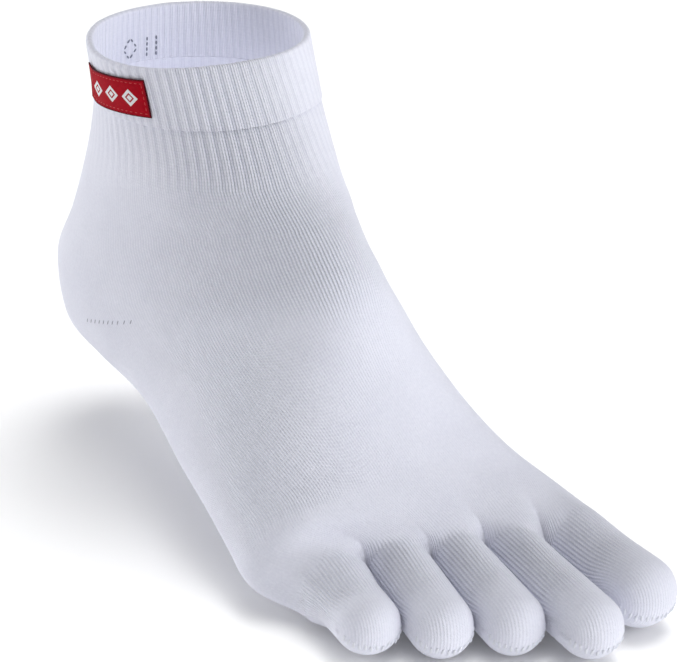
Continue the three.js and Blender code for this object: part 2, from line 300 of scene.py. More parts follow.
# Columns: front ahead and up, back ahead and up, lateral and medial half widths, where it is
# widest, roundness in front and behind, skew, lean and arch. Rows run from the rim to the toes.
SECTIONS = (
    Section(34.0, 0.0, -34.0, 0.0, 36.0, 36.0),
    Section(44.0, -20.0, -38.0, -22.5, 32.0, 36.0),
    Section(54.0, -34.5, -45.5, -45.0, 31.5, 36.5),
    Section(63.5, -42.5, -53.0, -68.0, 31.5, 38.0, 0.42, 2.0, 2.1),
    Section(69.0, -46.0, -61.5, -88.5, 32.0, 38.0, 0.38, 2.0, 2.2),
    Section(75.5, -51.0, -53.0, -110.5, 32.5, 36.5, 0.36, 2.0, 2.4),
    Section(82.0, -59.0, -29.0, -117.0, 33.5, 35.5, 0.36, 2.0, 2.6, 0.0, 1, 2),
    Section(89.0, -71.0, 4.0, -119.0, 39.0, 37.0, 0.38, 2.0, 2.6, 0.0, 2, 7),
    Section(97.5, -87.0, 44.0, -129.5, 47.5, 39.5, 0.4, 2.0, 2.6, 0.05, 4, 6),
    Section(109.0, -104.0, 85.5, -141.5, 53.0, 43.5, 0.4, 2.1, 2.6, 0.14, 6, 2),
    Section(118.5, -113.0, 111.5, -146.5, 56.5, 47.5, 0.42, 2.2, 2.6, 0.22, 7, 0),
)

# Columns: side, ahead, top and bottom. Rows run from the little toe's outer edge to the big toe's.
WEBS = (
    Web(-50.0, 117.0, -133.5, -140.5),
    Web(-26.3, 120.0, -134.8, -141.0),
    Web(-9.5, 130.5, -134.5, -141.0),
    Web(7.0, 136.5, -134.3, -141.0),
    Web(21.5, 148.5, -134.6, -141.0),
    Web(45.0, 145.5, -132.5, -139.5),
)

# Columns: name, rise, drop, tip, half width and height midway, the same at the end, end length
TOES = (
    Toe("little", 8.8, 5.2, (-44.0, 140.5, -136.2), 9.8, 9.8, 10.0, 8.8, 9.6),
    Toe("fourth", 10.4, 5.0, (-27.6, 154.0, -136.5), 9.7, 10.2, 9.9, 9.5, 9.6),
    Toe("third", 11.2, 5.0, (-10.0, 165.5, -136.3), 9.4, 10.2, 9.9, 9.6, 9.8),
    Toe("second", 12.0, 5.0, (6.0, 181.5, -135.7), 9.3, 10.2, 10.0, 9.6, 10.0),
    Toe("big", 13.0, 6.0, (31.0, 176.5, -134.7), 12.0, 11.2, 11.8, 10.9, 11.4),
)


@dataclass(frozen=True)
class ToeRoots:
    """The edge of the foot where the toes begin, and the directions in which they run on."""

    steps_over: int = 18
    steps_web: int = 4
    slant: float = 1.5
    reach: float = 22.0
    fill: float = 0.95
    late: float = 11.0
    early: float = 5.0

    @property
    def half_count(self) -> int:
        """Steps of the edge from the middle of the lateral side to that of the medial side."""
        return self.steps_web + len(TOES) * self.steps_over

    def web(self, index: int) -> np.ndarray:
        """Places down a web, from its top to its bottom.

        Args:
            index: The web.

        Returns:
            The places.
        """
        web = WEBS[index]
        share = np.linspace(0, 1, self.steps_web + 1)
        return place(web.side, web.ahead + self.slant * share, mix(web.top, web.bottom, share))

    def arc(self, toe: int, over: bool) -> np.ndarray:
        """Places over or under a toe's root, from its lateral web to its medial one.

        Args:
            toe: The toe.
            over: Whether to go over its root, and not under it.

        Returns:
            The places.
        """
        a, b = WEBS[toe], WEBS[toe + 1]
        angle = np.linspace(0, math.pi, self.steps_over + 1)
        share = (1 - np.cos(angle)) / 2
        low, high = (a.top, b.top) if over else (a.bottom, b.bottom)
        bulge = TOES[toe].rise if over else -TOES[toe].drop
        ahead = mix(a.ahead, b.ahead, share) + (0 if over else self.slant)
        return place(mix(a.side, b.side, share), ahead, mix(low, high, share) + bulge * np.sin(angle))

    def edge(self) -> np.ndarray:
        """The foot's edge once round from the middle of its lateral side, which ends it too.

        Returns:
            The places.
        """
        outer, inner = self.web(0), self.web(len(TOES))
        middle = self.steps_web // 2
        parts = [outer[1 : middle + 1][::-1]]
        parts += [self.arc(toe, True)[:-1] for toe in range(len(TOES))]
        parts += [inner[:-1]]
        parts += [self.arc(toe, False)[::-1][:-1] for toe in reversed(range(len(TOES)))]
        parts += [outer[middle:][::-1]]
        return np.concatenate(parts)

    def filled_edge(self) -> np.ndarray:
        """The foot's edge with the valleys between its toes filled up, on the upper side.

        Returns:
            The places.
        """
        edge = self.edge()
        crowns = [(WEBS[k].top + WEBS[k + 1].top) / 2 + toe.rise for k, toe in enumerate(TOES)]
        past = (np.arange(self.half_count + 1) - self.steps_web / 2) / self.steps_over
        level = np.interp(past, np.arange(len(TOES)) + 0.5, crowns) * MM
        upper = edge[: self.half_count + 1, 2]
        between = (past > 0.5) & (past < len(TOES) - 0.5)
        filled = mix(upper, np.maximum(upper, level), self.fill)
        edge[: self.half_count + 1, 2] = np.where(between, filled, upper)
        return edge

    def valley_power(self) -> np.ndarray:
        """How late each column sinks into the valley between two toes.

        Returns:
            A power for each column of the edge.
        """
        columns = np.arange(len(self.edge()))
        past = (columns - self.steps_web / 2) / self.steps_over
        return mix(self.late, self.early, bell(past, len(TOES) - 1, 0.6, 0.6))

    def outline(self, toe: int) -> np.ndarray:
        """A toe's root once round from its lateral web's top, which ends it too."""
        over, under = self.arc(toe, True), self.arc(toe, False)[::-1]
        return np.concatenate([over[:-1], self.web(toe + 1)[:-1], under[:-1], self.web(toe)[::-1]])

    def shares(self) -> np.ndarray:
        """Shares of the girth at which the foot's columns meet the edge.

        Returns:
            A share for each column of the edge.
        """
        lengths = path_length(self.edge())
        half = lengths[self.half_count]
        over = 0.5 * lengths[: self.half_count + 1] / half
        under = 0.5 + 0.5 * (lengths[self.half_count + 1 :] - half) / (lengths[-1] - half)
        return np.concatenate([over, under])

    def centre(self, toe: int) -> np.ndarray:
        """The middle of a toe's root.

        Args:
            toe: The toe.

        Returns:
            The place.
        """
        a, b = WEBS[toe], WEBS[toe + 1]
        top = (a.top + b.top) / 2 + TOES[toe].rise
        bottom = (a.bottom + b.bottom) / 2 - TOES[toe].drop
        return place((a.side + b.side) / 2, (a.ahead + b.ahead + self.slant) / 2, (top + bottom) / 2)

    def direction(self, toe: int) -> np.ndarray:
        """The way in which a toe points."""
        return unit(place(*TOES[toe].tip) - self.centre(toe))

    def directions(self) -> np.ndarray:
        """The ways in which the foot's edge runs on, eased from toe to toe.

        Returns:
            A vector of length one for each column of the edge.
        """
        each = np.array([self.direction(toe) for toe in range(len(TOES))])
        count = np.arange(len(self.edge()))
        past = np.where(count <= self.half_count, count, 2 * self.half_count - count)
        arc = np.clip((past - self.steps_web / 2) / self.steps_over, 0, len(TOES))
        toe = np.clip(arc - 0.5, 0, len(TOES) - 1)
        low = np.minimum(toe.astype(int), len(TOES) - 2)
        return unit(mix(each[low], each[low + 1], (toe - low)[:, None]))


ROOTS = ToeRoots()


class Form:
    """The sock's outer surface: smooth curves through its sections and its toes' roots."""

    def __init__(self, shares: np.ndarray, with_roots: bool = False) -> None:
        """Lays curves down the sock at shares of its girth.

        Args:
            shares: Shares of the girth, one for each column.
            with_roots: Whether the columns are those of the toes' roots and run on to them.
        """
        rings = [section.ring(shares) for section in SECTIONS]
        rings.insert(0, 2 * rings[0] - rings[1])
        self.with_roots = with_roots
        if with_roots:
            rings.append(ROOTS.filled_edge())
            rings.append(ROOTS.filled_edge() + ROOTS.directions() * ROOTS.reach * MM)
        self.rings = np.array(rings)

    def at(self, stations: np.ndarray) -> np.ndarray:
        """Places at stations down the sock.

        Args:
            stations: Where to look, in rows of the section chart.

        Returns:
            A net with a row for each station and a column for each share.
        """
        first = np.clip(np.floor(stations).astype(int), 0, len(self.rings) - 4)
        t = stations - first
        weights = 0.5 * np.stack([
            -t + 2 * t**2 - t**3,
            2 - 5 * t**2 + 3 * t**3,
            t + 4 * t**2 - 3 * t**3,
            -(t**2) + t**3,
        ])
        net = sum(weights[k][:, None, None] * self.rings[first + k] for k in range(4))
        if self.with_roots:
            near = np.clip(stations - (TOE_ROOTS - 1), 0, 1)[:, None] ** ROOTS.valley_power()
            net = net + near[..., None] * (ROOTS.edge() - ROOTS.filled_edge())
        return net

    def courses(self, stations: np.ndarray) -> np.ndarray:
        """Courses counted from the rim to stations, for each column.

        Args:
            stations: Rows of the section chart.

        Returns:
            A net with a row for each station and a column for each share.
        """
        fine = np.linspace(0, stations[-1], 400)
        lengths = path_length(self.at(fine))
        columns = [np.interp(stations, fine, lengths[:, k]) for k in range(lengths.shape[1])]
        return np.stack(columns, axis=1) / COURSE_HEIGHT


def way_round(net: np.ndarray) -> np.ndarray:
    """The way round a closed net at each of its places.

    Args:
        net: Rows of places, each ending on its first one again.

    Returns:
        Vectors of any length.
    """
    ring = net[:, :-1]
    turned = np.roll(ring, -1, axis=1) - np.roll(ring, 1, axis=1)
    return np.concatenate([turned, turned[:, :1]], axis=1)


def outward(net: np.ndarray, closed: bool = True) -> np.ndarray:
    """Directions out of the cloth at each place of a net.

    Args:
        net: Rows down the sock and columns round it, of places.
        closed: Whether the last column is the first one again.

    Returns:
        Vectors of length one.
    """
    down = np.gradient(net, axis=0)
    round_it = way_round(net) if closed else np.gradient(net, axis=1)
    return unit(np.cross(down, round_it))


def spot(station: float, share: float) -> tuple[np.ndarray, np.ndarray, np.ndarray]:
    """Looks at one spot of the sock's form.

    Args:
        station: Its row of the section chart.
        share: Its share of the girth.

    Returns:
        The place, the way round the sock and the way out of it.
    """
    shares = np.array([share - BESIDE, share, share + BESIDE])
    net = Form(shares).at(np.array([station - ALONG, station, station + ALONG]))
    return net[1, 1], net[1, 2] - net[1, 0], outward(net, closed=False)[1, 1]


def in_step(wale: float, other: float) -> float:
    """Moves a wale by half a wale at most, to lie a whole number of wales from another."""
    return wale + ((other - wale) - round(other - wale))


def rib_groove(wales: np.ndarray) -> np.ndarray:
    """How deep the ribbing lies at a wale, from 0 on a rib to 1 in a groove."""
    return (0.5 + 0.5 * np.cos(wales / WALES_PER_RIB * TURN)) ** 1.4


@dataclass(frozen=True)
class Knitting:
    """How the wales lie on the sock: closer over the instep and slanting towards the big toe."""

    stations: tuple[float, ...] = (0, 2.1, 2.5, 3.0, 3.6, 4.2, 4.8, 5.3, 5.8, 6.5, 7.5, 8.5, 9.5, 11)
    closer: tuple[float, ...] = (0, 0, 0.06, 0.16, 0.27, 0.33, 0.36, 0.33, 0.27, 0.22, 0.17, 0.10, 0.06, 0)
    slant_wales: float = 16.0
    slant_rows: tuple[float, float] = (6.6, 9.6)
    least_relief: float = 0.12
    added_relief: float = 0.95

    # The shin, the outer instep, the toes' roots and the instep beside the big toe
    raised: tuple[Area, ...] = (
        Area(0.2, 0.13, 0.08, ends=(5.4, 7.2)),
        Area(0.11, 0.09, 0.09, sets_in=(5.4, 6.6), ends=(9.1, 10.0), strength=0.55),
        Area(0.12, 0.14, 0.2, sets_in=(10.8, 11.0), strength=0.35),
        Area(0.375, 0.03, 0.045, sets_in=(10.6, 11.0), strength=0.6),
    )
    netted: Area = Area(0.16, 0.09, 0.12, sets_in=(6.2, 7.0), ends=(9.6, 10.2))
    open_ribs: Zone = Zone(0.15, 0.15, 0.13)
    closed_ribs: float = 0.25
    added_ribs: float = 0.65

    def wales(self, stations: np.ndarray, shares: np.ndarray) -> np.ndarray:
        """The wale at each station and share of the girth.

        Args:
            stations: Rows of the section chart, one for each row of the net.
            shares: Shares of the girth, one for each column.

        Returns:
            A net of wales, counted from the lateral side.
        """
        closer = np.interp(stations, self.stations, self.closer)[:, None]
        slant = self.slant_wales * ramp(stations, *self.slant_rows)[:, None]
        gathered = closer * np.sin((shares - 0.25) * TURN) / TURN
        return WALES_ROUND * (shares + gathered) - slant

    def relief(self, stations: np.ndarray, shares: np.ndarray) -> np.ndarray:
        """How strongly the stitches stand out: most on the shin and the outer instep."""
        strongest = np.maximum.reduce([area.at(stations, shares) for area in self.raised])
        return self.least_relief + self.added_relief * strongest

    def ribbing(self, shares: np.ndarray) -> np.ndarray:
        """How open the ribbing is round the leg: most on the outer front, least inside."""
        return self.closed_ribs + self.added_ribs * self.open_ribs.over(turned_from(-0.5, shares))


KNITTING = Knitting()


@dataclass
class Patch:
    """A net of places on cloth, with each one's wale, course and knit."""

    net: np.ndarray
    wales: np.ndarray
    courses: np.ndarray
    relief: np.ndarray | float = 1.0
    sole: np.ndarray | float = 0.0
    mesh: np.ndarray | float = 0.0
    ribbing: np.ndarray | float = 0.0

    def lay(self, cloth: bmesh.types.BMesh) -> list[bmesh.types.BMVert]:
        """Adds the patch to a mesh as a grid drawn over its places.

        Args:
            cloth: The mesh to add to.

        Returns:
            The grid's vertices.
        """
        rows, columns = self.net.shape[:2]
        knit = cloth.loops.layers.uv.get(KNIT_MAP) or cloth.loops.layers.uv.new(KNIT_MAP)
        layers = cloth.verts.layers.float
        shares = {RELIEF: self.relief, SOLE: self.sole, MESH: self.mesh, RIBBING: self.ribbing}
        carried = [
            (layers.get(name) or layers.new(name), np.broadcast_to(values, (rows, columns)))
            for name, values in shares.items()
        ]
        grid = bmesh.ops.create_grid(cloth, x_segments=columns - 1, y_segments=rows - 1, size=1)
        for vert in grid["verts"]:
            column = round((vert.co.x + 1) / 2 * (columns - 1))
            row = round((vert.co.y + 1) / 2 * (rows - 1))
            for loop in vert.link_loops:
                loop[knit].uv = (self.wales[row, column], self.courses[row, column])
            for layer, values in carried:
                vert[layer] = values[row, column]
            vert.co = self.net[row, column]
        return grid["verts"]


class Cloth:
    """Makes finished cloth pieces out of patches."""

    @staticmethod
    def sew(
        name: str, patches: Iterable[Patch], wall: float = 0.0, outside: bool = False
    ) -> bpy.types.Object:
        """Sews patches into one piece and gives it a wall.

        Args:
            name: The piece's name.
            patches: The patches, whose shared edges are merged.
            wall: The cloth's thickness, or 0 where the patches hold both faces.
            outside: Whether the wall grows out of the patches and not into the sock.

        Returns:
            The new object.
        """
        cloth = bmesh.new()
        for patch in patches:
            patch.lay(cloth)
        bmesh.ops.reverse_faces(cloth, faces=cloth.faces)
        bmesh.ops.remove_doubles(cloth, verts=cloth.verts, dist=MERGE_DISTANCE)
        for face in cloth.faces:
            face.smooth = True
        for edge in cloth.edges:
            edge.smooth = not edge.is_boundary
        piece = new_object(name, cloth)
        if wall:
            shell = piece.modifiers.new("wall", "SOLIDIFY")
            shell.thickness = wall
            shell.offset = 1 if outside else -1
        return piece


def new_object(name: str, source: bmesh.types.BMesh) -> bpy.types.Object:
    """Turns a bmesh into an object at the origin and frees the bmesh.

    Args:
        name: The object's name.
        source: Its shape.

    Returns:
        The new object.
    """
    mesh = bpy.data.meshes.new(name)
    source.to_mesh(mesh)
    source.free()
    piece = bpy.data.objects.new(name, mesh)
    bpy.context.scene.collection.objects.link(piece)
    return piece


def settle(
    piece: bpy.types.Object, material: bpy.types.Material, slot: Slot, nodes: Iterable[str] = ()
) -> None:
    """Dresses a piece and fixes it to the frame.

    Args:
        piece: The finished piece.
        material: Its finish.
        slot: The record's slot that the finish belongs to; not used.
        nodes: The frame's nodes that the piece stands for.
    """
    piece.data.materials.append(material)
    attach(piece, "root")
    if nodes:
        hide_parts(*nodes)
    log.info("%s: %d faces", piece.name, len(piece.data.polygons))


class Board:
    """A material's node tree, with short ways to add nodes and join them."""

    def __init__(self, name: str) -> None:
        """Starts a material with a plain surface shader.

        Args:
            name: The material's name.
        """
        self.material = bpy.data.materials.new(name)
        self.material.use_nodes = True
        self.tree = self.material.node_tree
        self.surface = self.tree.nodes["Principled BSDF"]

    def node(self, kind: str, **settings: object) -> bpy.types.Node:
        """Adds a node and sets its properties.

        Args:
            kind: The node's type.
            **settings: Its properties by name.

        Returns:
            The new node.
        """
        made = self.tree.nodes.new(kind)
        for key, value in settings.items():
            setattr(made, key, value)
        return made

    def feed(self, socket: bpy.types.NodeSocket, value: object) -> None:
        """Joins a socket to another one, or sets it to a plain value.

        Args:
            socket: The input.
            value: A socket or a plain value.
        """
        if isinstance(value, bpy.types.NodeSocket):
            self.tree.links.new(value, socket)
        else:
            socket.default_value = value

    def math(self, operation: str, *values: object) -> bpy.types.NodeSocket:
        """Adds a Math node over sockets or numbers.

        Args:
            operation: The node's operation.
            *values: What it works on.

        Returns:
            The result.
        """
        made = self.node("ShaderNodeMath", operation=operation)
        for socket, value in zip(made.inputs, values):
            self.feed(socket, value)
        return made.outputs[0]

    def wave(self, phase: object) -> bpy.types.NodeSocket:
        """A cosine from 0 to 1, with its crests at whole numbers."""
        turned = self.math("COSINE", self.math("MULTIPLY", phase, TURN))
        return self.math("MULTIPLY_ADD", turned, 0.5, 0.5)

    def blend(self, share: object, a: object, b: object) -> bpy.types.NodeSocket:
        """Mixes two numbers by a share.

        Args:
            share: How far from a to b.
            a: The first number.
            b: The second one.

        Returns:
            The mixed number.
        """
        made = self.node("ShaderNodeMix", data_type="FLOAT")
        for key, value in (("Factor", share), ("A", a), ("B", b)):
            self.feed(made.inputs[key], value)
        return made.outputs["Result"]

    def tint(self, share: object, a: object, b: object) -> bpy.types.NodeSocket:
        """Mixes two colours by a share.

        Args:
            share: How far from a to b.
            a: The first colour.
            b: The second one.

        Returns:
            The mixed colour.
        """
        made = self.node("ShaderNodeMix", data_type="RGBA")
        self.feed(made.inputs["Factor"], share)
        colours = [socket for socket in made.inputs if socket.type == "RGBA"]
        self.feed(colours[0], a)
        self.feed(colours[1], b)
        return next(socket for socket in made.outputs if socket.type == "RGBA")

    def attribute(self, name: str) -> bpy.types.NodeSocket:
        """Reads a number that the mesh carries."""
        return self.node("ShaderNodeAttribute", attribute_name=name).outputs["Fac"]

    def noise(self, scale: float, detail: float = 2.0) -> bpy.types.NodeSocket:
        """Noise over the piece's own coordinates, with waves to the metre.

        Args:
            scale: Waves to the metre.
            detail: How many finer layers it has.

        Returns:
            Heights from 0 to about 1.
        """
        where = self.node("ShaderNodeTexCoord").outputs["Object"]
        made = self.node("ShaderNodeTexNoise")
        self.feed(made.inputs["Vector"], where)
        made.inputs["Scale"].default_value = scale
        made.inputs["Detail"].default_value = detail
        return made.outputs["Fac"]

    def knit_places(self) -> tuple[bpy.types.NodeSocket, bpy.types.NodeSocket]:
        """The wale and the course at a point.

        Returns:
            The two sockets.
        """
        apart = self.node("ShaderNodeSeparateXYZ")
        self.feed(apart.inputs[0], self.node("ShaderNodeUVMap", uv_map=KNIT_MAP).outputs["UV"])
        return apart.outputs[0], apart.outputs[1]

    def bump(self, height: bpy.types.NodeSocket, distance: float) -> None:
        """Raises the surface by a height between 0 and 1, in shading alone.

        Args:
            height: The height.
            distance: How high 1 stands.
        """
        made = self.node("ShaderNodeBump")
        made.inputs["Strength"].default_value = 1.0
        made.inputs["Distance"].default_value = distance
        self.feed(made.inputs["Height"], height)
        self.feed(self.surface.inputs["Normal"], made.outputs["Normal"])

    def sheen(self, roughness: float, weight: float, sheen_roughness: float) -> None:
        """Sets the cloth's roughness and the soft light of its fibres.

        Args:
            roughness: The surface's roughness.
            weight: How strong the fibres' light is.
            sheen_roughness: How widely it spreads.
        """
        self.surface.inputs["Roughness"].default_value = roughness
        self.surface.inputs["Specular IOR Level"].default_value = 0.25
        self.surface.inputs["Sheen Weight"].default_value = weight
        self.surface.inputs["Sheen Roughness"].default_value = sheen_roughness


@dataclass(frozen=True)
class KnitFinish:
    """Soft white cotton yarn, knitted in wales and courses.

    "yarn" is its colour and "hollow" the painted shade between stitches, deepest where they sink. The "leg"
    values shape a plain stitch, "purl_share" the sole's loops and the "net" values the instep's netting.
    its waves to the metre, and a range gives its strength and what is added to it.
    """

    name: str
    yarn: Colour = (0.84, 0.85, 0.945, 1)
    hollow: Colour = (0.45, 0.465, 0.60, 1)
    stitch_depth: float = 0.5 * MM
    ribbed: bool = False
    leg_slant: float = 1.1
    leg_share: float = 0.4
    purl_share: float = 0.55
    net_slant: float = 0.5
    net_share: float = 0.4
    fuzz_waves: float = 3200.0
    fuzz_height: float = 0.35
    middle_height: float = 0.45
    shade_depth: float = 0.62
    patch_waves: float = 55.0
    patch_range: tuple[float, float] = (0.22, 0.05)
    speckle_waves: float = 1100.0
    speckle_range: tuple[float, float] = (0.26, -0.1)

    def material(self) -> bpy.types.Material:
        """Builds the finish.

        Returns:
            The material.
        """
        board = Board(self.name)
        wale, course = board.knit_places()
        relief = board.attribute(RELIEF)
        sole = board.attribute(SOLE)
        ridge = board.wave(wale)
        from_middle = board.math("PINGPONG", wale, 0.5)
        leg = board.wave(board.math("MULTIPLY_ADD", from_middle, self.leg_slant, course))
        shaped = board.math("MULTIPLY_ADD", leg, self.leg_share, 1 - self.leg_share)
        stitches = board.math("MULTIPLY", ridge, shaped)
        low_ridge = board.math("MULTIPLY", ridge, 1 - self.purl_share)
        loops = board.math("MULTIPLY_ADD", board.wave(course), self.purl_share, low_ridge)
        slanting = board.wave(board.math("MULTIPLY_ADD", wale, self.net_slant, course))
        crossed = board.math("MULTIPLY", slanting, self.net_share)
        netted = board.math("MULTIPLY_ADD", ridge, 1 - self.net_share, crossed)
        stitches = board.blend(board.attribute(MESH), stitches, netted)
        knit = board.blend(sole, stitches, loops)
        fuzz = board.noise(self.fuzz_waves, 1.5)
        raised = board.math("MULTIPLY", knit, relief)
        board.bump(board.math("MULTIPLY_ADD", fuzz, self.fuzz_height, raised), self.stitch_depth)
        # Painted shade: the colour darkens towards hollow where the stitches sink, as far as their relief
        # goes, and in the ribs' grooves
        shade = board.math("MULTIPLY", board.math("SUBTRACT", self.middle_height, knit), relief)
        if self.ribbed:
            shade = board.math("ADD", shade, self.groove_shade(board, wale))
        uneven = board.math("MULTIPLY_ADD", board.noise(self.patch_waves, 3), *self.patch_range)
        depth = board.math("MULTIPLY_ADD", shade, self.shade_depth, uneven)
        speckle = board.math("MULTIPLY_ADD", board.noise(self.speckle_waves, 2), *self.speckle_range)
        # The colour mixes the yarn with its painted shade, random patches and speckle
        colour = board.tint(board.math("ADD", depth, speckle), self.yarn, self.hollow)
        board.feed(board.surface.inputs["Base Color"], colour)
        board.sheen(roughness=0.9, weight=0.25, sheen_roughness=0.5)
        return board.material

    def groove_shade(self, board: Board, wale: bpy.types.NodeSocket) -> bpy.types.NodeSocket:
        """How much shade lies in the ribbing's grooves.

        Args:
            board: The finish's nodes.
            wale: The wale at a point.

        Returns:
            The shade.
        """
        crest = board.wave(board.math("DIVIDE", wale, float(WALES_PER_RIB)))
        shade = board.math("MULTIPLY_ADD", board.math("POWER", crest, 2.0), 0.6, -0.22)
        return board.math("MULTIPLY", shade, board.attribute(RIBBING))


@dataclass(frozen=True)
class LabelFinish:
    """Red satin ribbon with a row of white lozenges woven in, and painted shade along its edges.

    "length" and "height" are the ribbon's own. A lozenge has a half length and a half height,
    and a thin red ring inside it at the share "hollow_reach" of its size.
    """

    length: float
    height: float
    red: Colour = (0.48, 0.001, 0.012, 1)
    shade_and_mottle_red: Colour = (0.06, 0.002, 0.008, 1)
    white: Colour = (0.78, 0.78, 0.80, 1)
    lozenge_pitch: float = 8.4 * MM
    lozenge_half: tuple[float, float] = (3.3 * MM, 3.0 * MM)
    hollow_reach: float = 0.46
    hollow_half_width: float = 0.11
    warp_pitch: float = 0.34 * MM
    weft_pitch: float = 0.42 * MM
    weave_depth: float = 0.09 * MM
    darkening_edge: float = 0.9 * MM

    def material(self) -> bpy.types.Material:
        """Builds the finish over a map that runs in metres along and down the ribbon.

        Returns:
            The material.
        """
        board = Board("woven_satin")
        along, down = board.knit_places()
        warp = board.wave(board.math("DIVIDE", along, self.warp_pitch))
        weft = board.wave(board.math("DIVIDE", down, self.weft_pitch))
        weave = board.math("MULTIPLY_ADD", warp, 0.4, board.math("MULTIPLY", weft, 0.6))
        board.bump(weave, self.weave_depth)
        motif = self.lozenges(board, along, down)
        # Painted shade darkens the red along the ribbon's edges, and a random mottle darkens it in patches
        red_mottle = board.math("MULTIPLY", board.noise(900, 3), 0.5)
        darkening = board.math("MAXIMUM", self.edge_share(board, along, down), red_mottle)
        red = board.tint(darkening, self.red, self.shade_and_mottle_red)
        colour = board.tint(motif, red, self.white)
        board.feed(board.surface.inputs["Base Color"], colour)
        board.sheen(roughness=0.7, weight=0.0, sheen_roughness=0.4)
        board.surface.inputs["Specular IOR Level"].default_value = 0.06
        return board.material

    def lozenges(self, board: Board, along: object, down: object) -> bpy.types.NodeSocket:
        """One on the woven lozenges and nothing between them.

        Args:
            board: The finish's nodes.
            along: Distance along the ribbon.
            down: Distance down it.

        Returns:
            The share.
        """
        half_length, half_height = self.lozenge_half
        from_middle = board.math("ABSOLUTE", board.math("SUBTRACT", along, self.length / 2))
        past = board.math("PINGPONG", from_middle, self.lozenge_pitch / 2)
        low = board.math("ABSOLUTE", board.math("SUBTRACT", down, self.height / 2))
        upright = board.math("MULTIPLY", low, 1 / half_height)
        reach = board.math("MULTIPLY_ADD", past, 1 / half_length, upright)
        filled = board.math("LESS_THAN", reach, 1.0)
        off_ring = board.math("ABSOLUTE", board.math("SUBTRACT", reach, self.hollow_reach))
        hollow = board.math("LESS_THAN", off_ring, self.hollow_half_width)
        in_row = board.math("LESS_THAN", from_middle, 1.5 * self.lozenge_pitch)
        return board.math("MULTIPLY", in_row, board.math("SUBTRACT", filled, hollow))

    def edge_share(self, board: Board, along: object, down: object) -> bpy.types.NodeSocket:
        """How near a point lies to the ribbon's edge: 1 on it, 0 a millimetre in.

        Args:
            board: The finish's nodes.
            along: Distance along the ribbon.
            down: Distance down it.

        Returns:
            The share.
        """
        sides = board.math("MINIMUM", down, board.math("SUBTRACT", self.height, down))
        ends = board.math("MINIMUM", along, board.math("SUBTRACT", self.length, along))
        near = board.math("MINIMUM", sides, ends)
        inwards = board.math("MINIMUM", board.math("DIVIDE", near, self.darkening_edge), 1.0)
        return board.math("SUBTRACT", 1.0, inwards)


@dataclass(frozen=True)
class ThreadFinish:
    """Twisted sewing or marking yarn."""

    name: str
    colour: Colour
    shade: Colour
    roughness: float = 0.8

    def material(self) -> bpy.types.Material:
        """Builds the finish.

        Returns:
            The material.
        """
        board = Board(self.name)
        fibres = board.noise(2600, 3)
        board.bump(fibres, 0.12 * MM)
        board.feed(board.surface.inputs["Base Color"], board.tint(fibres, self.colour, self.shade))
        board.sheen(self.roughness, weight=0.2, sheen_roughness=0.5)
        return board.material


@dataclass
class Stitches:
    """Short threads laid on the cloth, each a long rounded bead."""

    name: str
    length: float
    width: float
    height: float
    segments: int = 8
    rings: int = 6
    beads: list[Matrix] = field(default_factory=list)

    def add(self, at: np.ndarray, along: np.ndarray, out: np.ndarray) -> None:
        """Lays one stitch.

        Args:
            at: The stitch's middle.
            along: The way in which the thread runs.
            out: The way out of the cloth.
        """
        z = unit(np.asarray(out, float))
        x = unit(along - np.dot(along, z) * z)
        y = np.cross(z, x)
        scaled = np.stack([x * self.length / 2, y * self.width / 2, z * self.height], axis=1)
        matrix = Matrix(scaled.tolist()).to_4x4()
        matrix.translation = Vector(at)
        self.beads.append(matrix)

    def build(self, finish: bpy.types.Material, slot: Slot) -> bpy.types.Object:
        """Makes all the stitches as one piece and settles it.

        Args:
            finish: The yarn's finish.
            slot: The record's slot that the finish belongs to.

        Returns:
            The new object.
        """
        threads = bmesh.new()
        for matrix in self.beads:
            bmesh.ops.create_uvsphere(
                threads, u_segments=self.segments, v_segments=self.rings, radius=1, matrix=matrix
            )
        for face in threads.faces:
            face.smooth = True
        piece = new_object(self.name, threads)
        settle(piece, finish, slot)
        return piece


